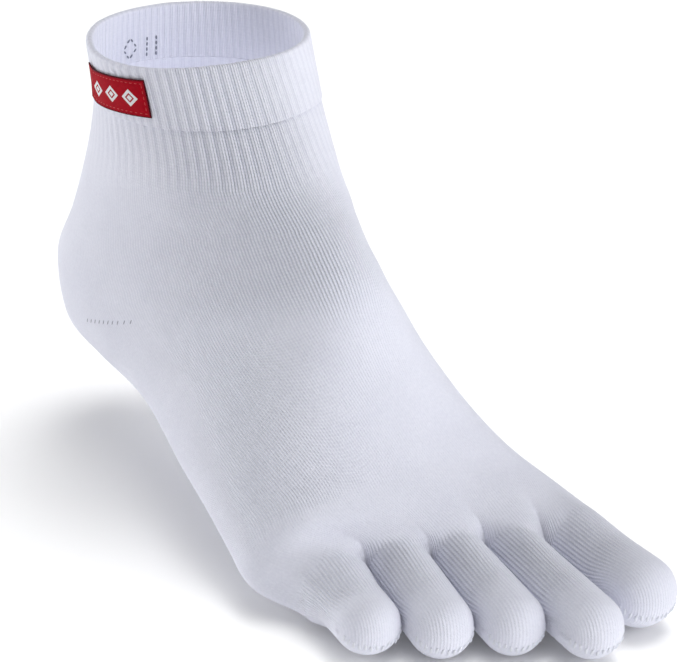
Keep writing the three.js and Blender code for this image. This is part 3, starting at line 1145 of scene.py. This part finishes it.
@dataclass
class Welt:
    """The doubled, ribbed band at the top, folded over at the rim and hemmed on to the leg.

    "proud" and "inside" are how far its two faces lie out of the sock's form and within it. The
    "hem" sizes round off its lower edge, "lift" raises that edge at the shin, and "dips" are how
    far the rim sags, in millimetres, at the shares of the girth above them.
    """

    proud: float = 0.6 * MM
    inside: float = 1.8 * MM
    rib_depth: float = 0.5 * MM
    inner_rib_depth: float = 0.28 * MM
    fold_ribs: float = 0.35
    hem_ribs: float = 0.4
    outer_relief: float = 0.8
    inner_relief: float = 0.3
    inner_ribbing: float = 0.35
    columns_per_rib: int = 6
    wall_rows: int = 24
    fold_rows: int = 8
    hem_rows: int = 5
    hem_round: float = 0.55 * MM
    hem_thinning: float = 0.08 * MM
    thinning_starts: tuple[float, float] = (6 * MM, 1 * MM)
    hem_turn: float = 0.62 * math.pi
    inner_short: float = 1.2 * MM
    lift: float = 3.0 * MM
    lifted: Zone = Zone(0.29, 0.14, 0.14)
    dip_shares: tuple[float, ...] = (-0.5, -0.3, -0.16, -0.11, -0.05, 0.0, 0.04, 0.1, 0.165, 0.23, 0.3, 0.5)
    dips: tuple[float, ...] = (-0.8, -0.7, 0.0, 0.9, 2.7, 3.0, 2.8, 1.8, 0.4, -0.3, -0.3, -0.8)
    flat: tuple[float, float] = (0.192, 0.046)

    def build(self, finish: bpy.types.Material) -> bpy.types.Object:
        """Makes the welt in one closed turn: inner wall, fold, outer wall and hem.

        Args:
            finish: The knit's finish.

        Returns:
            The new object.
        """
        columns = RIBS_ROUND * self.columns_per_rib + 1
        shares = np.linspace(0, 1, columns)
        form = Form(shares)
        down, out, raise_by, depth = self.profile()
        stations = down / ROW_DROP
        base = form.at(stations)
        along = unit(form.at(stations + ALONG) - form.at(np.maximum(stations - ALONG, 0)))
        normal = unit(np.cross(along, way_round(base)))
        fold = self.wall_rows + self.fold_rows // 2
        inside = np.arange(len(down))[:, None] < fold
        outer_wales = np.broadcast_to(shares * WALES_ROUND, base.shape[:2])
        inner_wales = np.broadcast_to(shares * INNER_RIBS_ROUND * WALES_PER_RIB, base.shape[:2])
        sunk = depth[:, None] * rib_groove(np.where(inside, inner_wales, outer_wales))
        sunk = sunk * np.where(inside, 1.0, KNITTING.ribbing(shares))
        towards_hem = smooth(down / (WELT_END * ROW_DROP))[:, None]
        lift = np.where(inside, 0.0, self.hem_lift(shares))
        moved = mix(self.rim_dip(shares), -lift, towards_hem) - raise_by[:, None]
        net = base + normal * (out[:, None] - sunk)[..., None] + along * moved[..., None]
        walked = path_length(net)[:, columns // 4]
        courses = np.broadcast_to(walked[:, None] / COURSE_HEIGHT, base.shape[:2])
        walls = [
            Patch(
                net[: fold + 1],
                inner_wales[: fold + 1],
                courses[: fold + 1],
                self.inner_relief,
                ribbing=self.inner_ribbing,
            ),
            Patch(
                net[fold:],
                outer_wales[fold:],
                courses[fold:],
                KNITTING.relief(np.zeros(1), shares) * self.outer_relief,
                ribbing=KNITTING.ribbing(shares)[None],
            ),
        ]
        piece = Cloth.sew("cuff_welt_knit", walls)
        settle(piece, finish, Slot.RIB, ["cuff_welt"])
        return piece

    def declare(self, welt: bpy.types.Object, marks: bpy.types.Object) -> None:
        """Does nothing with the band and the marks inside it."""

    def rim_dip(self, shares: np.ndarray) -> np.ndarray:
        """How far the rim sags at each share of the girth, most of all in front of the label."""
        return np.interp(turned_from(-0.5, shares), self.dip_shares, self.dips) * MM

    def hem_lift(self, shares: np.ndarray) -> np.ndarray:
        """How much higher than its chart the hem lies, most of all inside the shin."""
        return self.lift * self.lifted.over(turned_from(-0.25, shares))

    def profile(self) -> tuple[np.ndarray, np.ndarray, np.ndarray, np.ndarray]:
        """The band's section, from the bottom of its inner wall to the hem.

        Returns:
            For each row: distance below the rim, distance out of the sock's form, distance raised
            against the way down, and the ribs' depth (negative on the inner wall, which faces in).
        """
        fold = (self.proud + self.inside) / 2
        middle = (self.proud - self.inside) / 2
        bottom = WELT_END * ROW_DROP
        inner_down = np.linspace(bottom - self.inner_short, fold, self.wall_rows)
        angle = np.linspace(math.pi, 0, self.fold_rows + 2)[1:-1]
        outer_down = np.linspace(fold, bottom - self.hem_round, self.wall_rows)
        hem_angle = np.linspace(0, self.hem_turn, self.hem_rows + 1)[1:]
        hem_down = bottom - self.hem_round + self.hem_round * np.sin(hem_angle)
        hem_out = self.proud - self.hem_thinning - self.hem_round * (1 - np.cos(hem_angle))
        above_hem, at_hem = (bottom - distance for distance in self.thinning_starts)
        thinned = self.proud - self.hem_thinning * ramp(outer_down, above_hem, at_hem)
        flat = np.zeros_like
        down = np.concatenate([inner_down, np.full_like(angle, fold), outer_down, hem_down])
        out = np.concatenate([
            np.full_like(inner_down, -self.inside),
            middle + fold * np.cos(angle),
            thinned,
            hem_out,
        ])
        raised = np.concatenate([flat(inner_down), fold * np.sin(angle), flat(outer_down), flat(hem_down)])
        depth = np.concatenate([
            np.full_like(inner_down, -self.inner_rib_depth),
            self.rib_depth * self.fold_ribs * np.cos(angle),
            np.full_like(outer_down, self.rib_depth),
            self.rib_depth * np.maximum(np.cos(hem_angle), self.hem_ribs),
        ])
        return down, out, raised, depth


@dataclass
class Leg:
    """The single ribbed cloth between the welt and the ankle, tucked in under the hem.

    "start" is a row of the section chart, "tucked" how far the cloth is drawn in where the hem
    hides it, and "late_fade" how late its ribs fade out towards the ankle.
    """

    start: float = 0.82
    tucked: float = 0.65 * MM
    late_fade: float = 1.3
    hidden_past: float = 0.05
    hidden_over: float = 0.12
    rib_depth: float = 0.45 * MM
    wall: float = 1.2 * MM
    columns_per_rib: int = 6
    rows: int = 60
    flat: tuple[float, float] = (0.188, 0.036)

    def build(self, finish: bpy.types.Material) -> bpy.types.Object:
        """Makes the leg.

        Args:
            finish: The knit's finish.

        Returns:
            The new object.
        """
        shares = np.linspace(0, 1, RIBS_ROUND * self.columns_per_rib + 1)
        form = Form(shares)
        stations = np.linspace(self.start, LEG_END, self.rows)
        base = form.at(stations)
        wales = KNITTING.wales(stations, shares)
        share_left = (LEG_END - stations) / (LEG_END - WELT_END)
        left = smooth(share_left * self.late_fade)[:, None] * KNITTING.ribbing(shares)
        hem = WELT_END - Welt().hem_lift(shares) / ROW_DROP
        hidden = smooth((hem + self.hidden_past - stations[:, None]) / self.hidden_over)
        sunk = self.rib_depth * left * rib_groove(wales) + self.tucked * hidden
        net = base - outward(base) * sunk[..., None]
        relief = KNITTING.relief(stations, shares)
        patch = Patch(net, wales, form.courses(stations), relief, ribbing=left)
        piece = Cloth.sew("leg_knit", [patch], self.wall)
        settle(piece, finish, Slot.RIB, ["ribbed_leg"])
        return piece


@dataclass
class Foot:
    """Heel, arch, ball and toes, knitted on from the leg without a seam.

    A toe's section turns from its root's outline into an oval by the share "rounded_by" of its
    length. "wider" is what that oval gains at the root, in millimetres, and "narrowed" the share
    that the toe's end loses. The "relief" values say how strongly the toes' stitches stand out.
    The "linking" sizes belong to the stitches over the toes and the "gore" ones to the painted
    shade in the heel's open stitches, a row of dark beads whose start and end are a row of the section chart
    and a share of the girth.
    """

    rows: int = 150
    toe_rows: int = 26
    tip_rows: int = 10
    wall: float = 1.2 * MM
    rounded_by: float = 0.55
    seam_tilt: float = -23.0
    narrowed: float = 0.05
    wider: float = 0.3
    lit_side: Zone = Zone(math.radians(62), 1.0, 0.8)
    toe_relief: tuple[float, float] = (0.25, 0.8)
    tip_relief: float = 0.3
    tip_starts: tuple[float, float] = (0.45, 0.7)
    root_relief: float = 0.5
    root_share: float = 0.15
    sole_edge: tuple[float, float] = (0.033, 0.467)
    sole_start: float = 5.2
    sole_blend: float = 0.005
    linking_pitch: float = 1.75 * MM
    linking_tilt: float = 0.22
    linking_scatter: float = 0.4 * MM
    linking_lean: float = 0.2
    gore_start: tuple[float, float] = (5.175, -0.062)
    gore_end: tuple[float, float] = (5.475, 0.024)
    gore_count: int = 10
    gore_lean: float = 0.55
    flat: tuple[float, float] = (0.245, 0.30)
    area: float = 0.060

    def build(self, finish: bpy.types.Material) -> bpy.types.Object:
        """Makes the foot and its toes as one piece.

        Args:
            finish: The knit's finish.

        Returns:
            The new object.
        """
        patches = [self.body(), *(self.toe(index) for index in range(len(TOES)))]
        piece = Cloth.sew("foot_knit", patches, self.wall)
        nodes = ["heel_pocket", "arch_sleeve", "ball_sleeve"]
        nodes += [f"toe_pocket_{toe.name}" for toe in TOES]
        settle(piece, finish, Slot.JERSEY, nodes)
        return piece

    def declare(self, knit: bpy.types.Object, stitches: Iterable[bpy.types.Object]) -> None:
        """Runs through the stitches and does nothing else with them or the knit."""
        list(stitches)

    def sole_mask(self, shares: np.ndarray) -> np.ndarray:
        """One on the sole and nothing on the instep, eased over a wale or two.

        Args:
            shares: Shares of the girth.

        Returns:
            A share from 0 to 1 for each column.
        """
        lateral, medial = self.sole_edge
        wrapped = turned_from(0.0, shares)
        half = self.sole_blend / 2
        past_lateral = ramp(wrapped, lateral + half, lateral - half)
        past_medial = ramp(wrapped, medial - half, medial + half)
        return np.maximum(past_lateral, past_medial)

    def body(self) -> Patch:
        """The patch from the leg to the toes' roots.

        Returns:
            The patch.
        """
        shares = ROOTS.shares()
        form = Form(shares, with_roots=True)
        stations = np.linspace(LEG_END, TOE_ROOTS, self.rows + 1)
        stations[-1] -= 1e-9
        net = form.at(stations)
        net[-1] = ROOTS.edge()
        wales = KNITTING.wales(stations, shares)
        from_heel = smooth(stations - self.sole_start)[:, None]
        sole = np.broadcast_to(self.sole_mask(shares), net.shape[:2]) * from_heel
        relief = KNITTING.relief(stations, shares)
        mesh = KNITTING.netted.at(stations, shares)
        return Patch(net, wales, form.courses(stations), relief, sole, mesh)

    def toe_frame(self, index: int) -> tuple[np.ndarray, np.ndarray, np.ndarray]:
        """The directions of a toe: ahead, across to the medial side, and up.

        Args:
            index: The toe.

        Returns:
            The three vectors, of length one.
        """
        ahead = ROOTS.direction(index)
        across = unit(np.cross([0, 0, 1], ahead))
        return ahead, across, np.cross(ahead, across)

    def around(self, index: int) -> tuple[np.ndarray, np.ndarray]:
        """Angles of a toe's columns: those of its root's outline, and even ones for its tip.

        Args:
            index: The toe.

        Returns:
            The two sets, from the lateral side (0) over the top (a quarter turn).
        """
        _, across, up = self.toe_frame(index)
        outline = ROOTS.outline(index) - ROOTS.centre(index)
        angles = np.unwrap(np.arctan2(outline @ up, -(outline @ across)))
        half = ROOTS.steps_over + ROOTS.steps_web
        steps = np.arange(len(outline)) + ROOTS.steps_web / 2
        return angles, steps / half * math.pi

    def tip_place(self, index: int, angles: np.ndarray, share: float) -> np.ndarray:
        """Places on a toe's rounded end, where each wale runs straight over to the seam.

        Args:
            index: The toe.
            angles: Angles round the toe.
            share: How far over the end, from 0 where it begins to 1 on the closing seam.

        Returns:
            The places, those over and under the toe meeting in its seam.
        """
        toe = TOES[index]
        ahead, across, up = self.toe_frame(index)
        rise = np.where(np.sin(angles) >= 0, math.pi / 2, -math.pi / 2)
        tilt = mix(rise, math.radians(self.seam_tilt), share)[:, None]
        reach = np.abs(np.sin(angles))[:, None]
        forward = reach**0.8 * np.cos(tilt) ** 0.85 * toe.end_length * MM
        height = reach * np.sin(tilt) * toe.end_half_height * MM
        width = -np.cos(angles)[:, None] * toe.end_half_width * MM
        narrowed = 1 - self.narrowed * np.cos(tilt)
        return place(*toe.tip) + ahead * forward + across * width * narrowed + up * height

    def toe(self, index: int) -> Patch:
        """The patch of one toe, from its root to its closing seam.

        Args:
            index: The toe.

        Returns:
            The patch.
        """
        toe = TOES[index]
        root, tip = ROOTS.centre(index), place(*toe.tip)
        _, across, up = self.toe_frame(index)
        outline = ROOTS.outline(index) - root
        start_angles, even_angles = self.around(index)
        rows = []
        for t in np.linspace(0, 1, self.toe_rows + 1):
            width = (mix(toe.mid_half_width, toe.end_half_width, smooth(t)) + self.wider * (1 - t)) * MM
            height = mix(toe.mid_half_height, toe.end_half_height, smooth(t)) * MM
            angles = mix(start_angles, even_angles, ramp(t, self.rounded_by, 1.0))
            oval = up * np.sin(angles)[:, None] * height - across * np.cos(angles)[:, None] * width
            rows.append(mix(outline, oval, smooth(t / self.rounded_by)) + mix(root, tip, t))
        for share in np.linspace(0, 1, self.tip_rows + 1)[1:]:
            rows.append(self.tip_place(index, even_angles, share))
        net = np.array(rows)
        wales, courses = self.toe_knit(index, net)
        lit = self.lit_side.over(np.mod(even_angles, TURN))
        down = (np.arange(len(net)) / (len(net) - 1))[:, None]
        relief = mix(*self.toe_relief, lit) * mix(1.0, self.tip_relief, ramp(down, *self.tip_starts))
        return Patch(net, wales, courses, mix(self.root_relief, relief, smooth(down / self.root_share)))

    def toe_knit(self, index: int, net: np.ndarray) -> tuple[np.ndarray, np.ndarray]:
        """Wales and courses of a toe, carried on from the foot's.

        Args:
            index: The toe.
            net: The toe's places.

        Returns:
            The wale and the course of each place.
        """
        edge, shares = ROOTS.edge(), ROOTS.shares()
        form = Form(shares, with_roots=True)
        foot_courses = form.courses(np.array([TOE_ROOTS - 1e-9]))[0]
        over, web = ROOTS.steps_over, ROOTS.steps_web
        outline = ROOTS.outline(index)
        apart = np.linalg.norm(outline[:, None] - edge[None, :-1], axis=2)
        columns = np.argmin(apart, axis=1)
        top = columns[: over + 1]
        bottom = columns[over + web : 2 * over + web + 1]
        foot_wales = KNITTING.wales(np.array([TOE_ROOTS]), shares)[0]
        top_wales, bottom_wales = foot_wales[top], foot_wales[bottom]
        across_web = np.linalg.norm(outline[over + web] - outline[over]) / WALE_WIDTH
        if index == len(TOES) - 1:
            across_web = bottom_wales[0] - top_wales[-1]
        meeting = in_step(top_wales[-1] + across_web, bottom_wales[0])
        carried = bottom_wales - bottom_wales[0] + meeting
        back_web = np.linalg.norm(outline[-1] - outline[2 * over + web]) / WALE_WIDTH
        closing = in_step(carried[-1] + back_web, top_wales[0])
        wales = self.round_toe(top_wales, carried, closing)
        starts = self.round_toe(foot_courses[top], foot_courses[bottom], foot_courses[top[0]])
        return np.broadcast_to(wales, net.shape[:2]), starts + path_length(net) / COURSE_HEIGHT

    @staticmethod
    def round_toe(top: np.ndarray, bottom: np.ndarray, closing: float) -> np.ndarray:
        """Runs values round a toe: over its root, down a web, back under and up the other web.

        Args:
            top: Values over the root.
            bottom: Values on the way back under it.
            closing: The value that the round ends on.

        Returns:
            A value for each of the toe's columns.
        """
        marks = ROOTS.steps_web + 1
        down_web = np.linspace(top[-1], bottom[0], marks)[1:]
        up_web = np.linspace(bottom[-1], closing, marks)[1:]
        return np.concatenate([top, down_web, bottom[1:], up_web])

    def seam(self, index: int) -> np.ndarray:
        """The line of a toe's closing seam, low on its rounded end."""
        return self.tip_place(index, np.radians(np.linspace(14, 166, 60)), 1.0)

    def closing_stitches(self, finish: bpy.types.Material) -> bpy.types.Object:
        """The linking stitches that close each toe along its seam.

        Args:
            finish: The yarn's finish.

        Returns:
            The new object.
        """
        stitches = Stitches("toe_linking_stitches", length=2.6 * MM, width=0.95 * MM, height=0.34 * MM)
        dice = random.Random(SEED)
        for index, toe in enumerate(TOES):
            ahead, _, up = self.toe_frame(index)
            seam = self.seam(index)
            lengths = path_length(seam)
            centre = place(*toe.tip)
            count = int(lengths[-1] / self.linking_pitch)
            for k in range(count):
                walked = (k + 0.5) / count * lengths[-1]
                at = np.array([np.interp(walked, lengths, seam[:, axis]) for axis in range(3)])
                out = unit(at - centre)
                tilt = dice.uniform(-self.linking_tilt, self.linking_tilt)
                height = up * dice.uniform(-self.linking_scatter, self.linking_scatter)
                stitches.add(at + height, up + ahead * self.linking_lean + tilt * np.cross(up, out), out)
        return stitches.build(finish, Slot.JERSEY)

    def gore_hole_shades(self, finish: bpy.types.Material) -> bpy.types.Object:
        """Dark beads of painted shade in the open stitches along the heel's gore line, on both sides.

        Args:
            finish: The yarn's finish.

        Returns:
            The new object.
        """
        stitches = Stitches("heel_gore_hole_shades", length=1.9 * MM, width=0.5 * MM, height=0.08 * MM)
        start, end = np.array(self.gore_start), np.array(self.gore_end)
        for side in Side:
            for k in range(self.gore_count):
                station, share = mix(start, end, (k + 0.5) / self.gore_count)
                if side is Side.MEDIAL:
                    share = 0.5 - share
                at, round_it, out = spot(station, share)
                lean = side.value * self.gore_lean * unit(round_it)
                stitches.add(at, np.array([0, 0, 1]) + lean, out)
        return stitches.build(finish, Slot.JERSEY)


@dataclass
class SizeMarks:
    """Two small marks in grey yarn inside the back of the cuff: a lozenge and a pair of bars.

    Each lies at a share of the girth and a depth below the rim. "half" is a mark's half height,
    in which its width and the bars' distance are counted.
    """

    depth_in: float = 1.8 * MM
    dash: float = 1.5 * MM
    lozenge_at: tuple[float, float] = (-0.235, 13.0 * MM)
    bars_at: tuple[float, float] = (-0.274, 13.3 * MM)
    half: float = 3.7 * MM
    girth: float = 0.212
    lozenge_width: float = 0.75
    bars_apart: float = 0.9
    dash_pitch: float = 1.25

    def build(self, finish: bpy.types.Material) -> bpy.types.Object:
        """Makes both marks as one piece of dashes.

        Args:
            finish: The yarn's finish.

        Returns:
            The new object.
        """
        stitches = Stitches("size_marks", length=self.dash, width=0.62 * MM, height=0.3 * MM)
        wide = self.lozenge_width
        corners = [(0.0, 1.0), (wide, 0.0), (0.0, -1.0), (-wide, 0.0), (0.0, 1.0)]
        for a, b in zip(corners, corners[1:]):
            self.run(stitches, self.lozenge_at, a, b)
        for side in (-self.bars_apart / 2, self.bars_apart / 2):
            self.run(stitches, self.bars_at, (side, 1.0), (side, -1.0))
        return stitches.build(finish, Slot.THREAD)

    def run(
        self,
        stitches: Stitches,
        at: tuple[float, float],
        a: tuple[float, float],
        b: tuple[float, float],
    ) -> None:
        """Sews dashes from a to b, in half sizes of the mark at a share of the girth and a depth.

        Args:
            stitches: Where the dashes go.
            at: The mark's share of the girth and its depth below the rim.
            a: Start, across and up.
            b: End, across and up.
        """
        start, end = np.array(a) * self.half, np.array(b) * self.half
        length = float(np.linalg.norm(end - start))
        count = max(round(length / (self.dash * self.dash_pitch)), 1)
        for k in range(count):
            across, up = mix(start, end, (k + 0.5) / count)
            here, out = self.wall_place(at, across, up)
            ahead, _ = self.wall_place(at, *(np.array([across, up]) + unit(end - start) * 0.2 * MM))
            stitches.add(here, ahead - here, -out)

    def wall_place(self, at: tuple[float, float], across: float, up: float) -> tuple[np.ndarray, np.ndarray]:
        """A place on the welt's inner wall, and the way out of the sock there."""
        here, _, out = spot((at[1] - up) / ROW_DROP, at[0] + across / self.girth)
        return here - out * self.depth_in, out


@dataclass
class Label:
    """A small woven ribbon label, sewn round the lateral side of the welt.

    "lean" and "taper" slant its two ends. "rear_drop" lowers its rear end and lifts its front
    one, and "corner_lift" raises the last millimetres of the rear end. The stitching runs at
    "inset" from the edge, with a stitch for each "pitch".
    """

    centre_share: float = -0.003
    lean: float = 2.4 * MM
    length: float = 30.3 * MM
    taper: float = 0.12
    height: float = 12.8 * MM
    below_rim: float = 7.3 * MM
    rear_drop: float = 1.3 * MM
    corner_lift: float = 1.5 * MM
    corner_length: float = 2.6 * MM
    stand_off: float = 0.95 * MM
    thickness: float = 0.45 * MM
    pressed_in: float = 0.16 * MM
    pressed_width: float = 0.5 * MM
    puff: float = 0.12 * MM
    puff_length: float = 4 * MM
    ripple: float = 0.07 * MM
    ripple_lengths: tuple[float, float, float] = (2.4 * MM, 5.1 * MM, 9 * MM)
    inset: float = 1.3 * MM
    pitch: float = 1.9 * MM
    columns: int = 88
    rows: int = 26
    girth: float = 0.22

    def net(self, across: np.ndarray, down: np.ndarray, lift: np.ndarray | float = 0.0) -> np.ndarray:
        """Places on the label.

        Args:
            across: Distances along it from its rear end, one for each column.
            down: Distances below its top edge, one for each row.
            lift: How far each place stands off its usual height.

        Returns:
            A net with a row for each distance down.
        """
        tops = self.below_rim + self.rear_drop * (1 - 2 * across / self.length)
        tops = tops - self.corner_lift * np.exp(-((across / self.corner_length) ** 2))
        rows = []
        for low in down:
            level = 0.5 - low / self.height
            leaned = (across - self.length / 2) * (1 - self.taper * level) + self.lean * level
            ring = Form(self.centre_share + leaned / self.girth).at((tops + low) / ROW_DROP)
            rows.append(np.einsum("kkx->kx", ring))
        base = np.array(rows)
        return base + outward(base, closed=False) * (self.stand_off + lift)[..., None]

    def lift(self, across: np.ndarray, down: np.ndarray) -> np.ndarray:
        """How the ribbon lies: pressed down along its stitching, puffed between, with lively edges.

        Args:
            across: Distances along it from its rear end.
            down: Distances below its top edge.

        Returns:
            How far each place stands off.
        """
        along, low = np.meshgrid(across, down)
        near = np.minimum(np.minimum(along, self.length - along), np.minimum(low, self.height - low))
        pressed = self.pressed_in * bell(near, self.inset, self.pressed_width, self.pressed_width)
        puffed = self.puff * smooth(near / self.puff_length)
        across_it, down_it, slant = self.ripple_lengths
        rippled = self.ripple * np.sin(along / across_it) * np.cos(low / down_it + along / slant)
        return puffed - pressed + rippled

    def build(self, finish: bpy.types.Material) -> bpy.types.Object:
        """Makes the ribbon.

        Args:
            finish: The ribbon's finish.

        Returns:
            The new object.
        """
        across = np.linspace(0, self.length, self.columns + 1)
        down = np.linspace(0, self.height, self.rows + 1)
        net = self.net(across, down, self.lift(across, down))
        along, low = np.meshgrid(across, down)
        piece = Cloth.sew("label_ribbon", [Patch(net, along, low)], self.thickness, outside=True)
        settle(piece, finish, Slot.LABEL, ["label"])
        return piece

    def declare(self, ribbon: bpy.types.Object, stitches: bpy.types.Object) -> None:
        """Does nothing with the ribbon and its stitches."""

    def stitching(self, finish: bpy.types.Material) -> bpy.types.Object:
        """Makes the running stitches inside the ribbon's border.

        Args:
            finish: The thread's finish.

        Returns:
            The new object.
        """
        stitches = Stitches("label_stitches", length=1.25 * MM, width=0.3 * MM, height=0.12 * MM)
        inset, pitch = self.inset, self.pitch
        long_side, short_side = self.length - 2 * inset, self.height - 2 * inset
        for k in range(round(long_side / pitch)):
            across = inset + (k + 0.5) * pitch
            for down in (inset, self.height - inset):
                self.stitch(stitches, across, down, (1, 0))
        for k in range(round(short_side / pitch)):
            down = inset + (k + 0.5) * pitch
            for across in (inset, self.length - inset):
                self.stitch(stitches, across, down, (0, 1))
        return stitches.build(finish, Slot.LABEL)

    def stitch(self, stitches: Stitches, across: float, down: float, way: tuple[int, int]) -> None:
        """Lays one stitch of the border, running along the label or down it.

        Args:
            stitches: Where the stitch goes.
            across: Its distance along the label.
            down: Its distance below the top edge.
            way: (1, 0) for along the label and (0, 1) for down it.
        """
        small = 0.3 * MM
        columns = across + np.array([-small, 0, small])
        rows = down + np.array([-small, 0, small])
        net = self.net(columns, rows, self.lift(columns, rows) + self.thickness)
        out = outward(net, closed=False)[1, 1]
        along = net[1, 2] - net[1, 0] if way[0] else net[2, 1] - net[0, 1]
        stitches.add(net[1, 1], along, out)


def viewpoint(azimuth: float, elevation: float) -> Vector:
    """The direction from the object to a viewer, azimuth 0 being at -Y and 90 at +X."""
    a, e = math.radians(azimuth), math.radians(elevation)
    return Vector((math.sin(a) * math.cos(e), -math.cos(a) * math.cos(e), math.sin(e)))


@dataclass(frozen=True)
class SoftLight:
    """A wide, distant lamp.

    "towards" is its azimuth and elevation in degrees, azimuth 0 being at -Y, "strength" its
    light in watts for each square metre, and "spread" the angle that it fills, in degrees.
    """

    name: str
    towards: tuple[float, float]
    strength: float
    spread: float

    def hang(self) -> bpy.types.Object:
        """Adds the lamp to the scene.

        Returns:
            The lamp.
        """
        light = bpy.data.lights.new(self.name, "SUN")
        light.energy = self.strength
        light.angle = math.radians(self.spread)
        lamp = bpy.data.objects.new(self.name, light)
        lamp.rotation_euler = viewpoint(*self.towards).to_track_quat("Z", "Y").to_euler()
        bpy.context.scene.collection.objects.link(lamp)
        return lamp


@dataclass
class Studio:
    """A plain white floor under soft light from both sides and above."""

    floor_size: float = 30.0
    clearance: float = 0.3 * MM
    sky_strength: float = 0.185
    lights: tuple[SoftLight, ...] = (
        SoftLight("key_light", (31, 17), 1.7, 50),
        SoftLight("rim_light", (-162, 5), 2.5, 45),
        SoftLight("top_light", (0, 87), 0.8, 40),
        SoftLight("fill_light", (-18, 14), 0.54, 90),
    )
    table_light: SoftLight = SoftLight("table_light", (105, 72), 1.25, 34)
    cuff_lamp_at: tuple[float, float, float] = (0.0, -10 * MM, -38 * MM)
    cuff_lamp_watts: float = 0.028
    cuff_lamp_radius: float = 9 * MM

    def build(self, finish: bpy.types.Material) -> None:
        """Makes the floor, the sky and the lamps.

        Args:
            finish: The floor's finish.
        """
        floor_mesh = bmesh.new()
        bmesh.ops.create_grid(floor_mesh, x_segments=2, y_segments=2, size=self.floor_size / 2)
        bmesh.ops.translate(floor_mesh, verts=floor_mesh.verts, vec=(0, 0, cad_box[0].z - self.clearance))
        floor = new_object("floor", floor_mesh)
        floor.data.materials.append(finish)
        self.sky()
        for light in self.lights:
            light.hang()
        self.light_only(self.table_light.hang(), floor)
        self.cuff_lamp()

    def sky(self) -> None:
        """Fills the room with even white light."""
        world = bpy.data.worlds.new("studio")
        world.use_nodes = True
        background = world.node_tree.nodes["Background"]
        background.inputs["Color"].default_value = (1, 1, 1, 1)
        background.inputs["Strength"].default_value = self.sky_strength
        bpy.context.scene.world = world

    def light_only(self, lamp: bpy.types.Object, receiver: bpy.types.Object) -> None:
        """Lets a lamp light one object alone, with the shadows that the others cast on it.

        Args:
            lamp: The lamp.
            receiver: What it lights.
        """
        lit = bpy.data.collections.new(f"lit_by_{lamp.name}")
        lit.objects.link(receiver)
        lamp.light_linking.receiver_collection = lit

    def cuff_lamp(self) -> None:
        """Adds a faint unseen lamp in the cuff, for the light that real cloth lets through."""
        light = bpy.data.lights.new("cuff_light", "POINT")
        light.energy = self.cuff_lamp_watts
        light.shadow_soft_size = self.cuff_lamp_radius
        lamp = bpy.data.objects.new("cuff_light", light)
        lamp.location = self.cuff_lamp_at
        lamp.visible_camera = False
        bpy.context.scene.collection.objects.link(lamp)


@dataclass(frozen=True)
class PhotoCamera:
    """The camera at the photograph's angle."""

    azimuth: float = -40.375
    elevation: float = 23.166
    roll: float = 1.387
    distance: float = 0.7959
    aim: tuple[float, float, float] = (0.01161, -0.05975, -0.08604)
    focal_pixels: float = 2501.2
    picture_width: int = 680

    def build(self) -> None:
        """Makes the camera and gives it to the scene."""
        data = bpy.data.cameras.new("photo_camera")
        data.sensor_width = 36.0
        data.lens = self.focal_pixels * data.sensor_width / self.picture_width
        data.clip_start = 0.01
        data.clip_end = 20
        camera = bpy.data.objects.new("photo_camera", data)
        back = viewpoint(self.azimuth, self.elevation)
        right = Vector((0, 0, 1)).cross(back).normalized()
        up = back.cross(right)
        turn = math.radians(self.roll)
        right, up = right * math.cos(turn) + up * math.sin(turn), up * math.cos(turn) - right * math.sin(turn)
        camera.matrix_world = Matrix((right, up, back)).transposed().to_4x4()
        camera.location = Vector(self.aim) + back * self.distance
        bpy.context.scene.collection.objects.link(camera)
        bpy.context.scene.camera = camera


@dataclass(frozen=True)
class FloorFinish:
    """A plain white table top, which glows a very little."""

    colour: Colour = (0.95, 0.95, 0.95, 1)
    glow: float = 0.03

    def material(self) -> bpy.types.Material:
        """Builds the finish.

        Returns:
            The material.
        """
        board = Board("white_floor")
        surface = board.surface.inputs
        surface["Base Color"].default_value = self.colour
        surface["Emission Color"].default_value = self.colour
        surface["Emission Strength"].default_value = self.glow
        surface["Roughness"].default_value = 0.9
        surface["Specular IOR Level"].default_value = 0.1
        return board.material


def main() -> None:
    """Builds the camera, the sock and the studio in order."""
    logging.basicConfig(level=logging.INFO, format="%(message)s")
    bpy.context.scene.view_settings.view_transform = "Standard"
    PhotoCamera().build()
    ribbed = KnitFinish("ribbed_cotton", ribbed=True).material()
    jersey = KnitFinish("jersey_cotton").material()
    linking = ThreadFinish("linking_cotton", (0.82, 0.83, 0.90, 1), (0.66, 0.68, 0.76, 1)).material()
    # The gore's beads are painted shade: a dark finish for the holes of its open stitches
    open_stitch = ThreadFinish("open_stitch_shade", (0.40, 0.41, 0.49, 1), (0.28, 0.29, 0.36, 1)).material()
    grey_yarn = ThreadFinish("grey_yarn", (0.27, 0.29, 0.36, 1), (0.15, 0.17, 0.22, 1)).material()
    red_thread = ThreadFinish("red_thread", (0.62, 0.10, 0.09, 1), (0.42, 0.02, 0.03, 1)).material()
    welt = Welt()
    welt.declare(welt.build(ribbed), SizeMarks().build(grey_yarn))
    Leg().build(ribbed)
    foot = Foot()
    knit = foot.build(jersey)
    foot.declare(knit, [foot.closing_stitches(linking), foot.gore_hole_shades(open_stitch)])
    label = Label()
    ribbon = label.build(LabelFinish(label.length, label.height).material())
    label.declare(ribbon, label.stitching(red_thread))
    Studio().build(FloorFinish().material())
    bpy.context.view_layer.update()


if __name__ == "__main__":
    main()
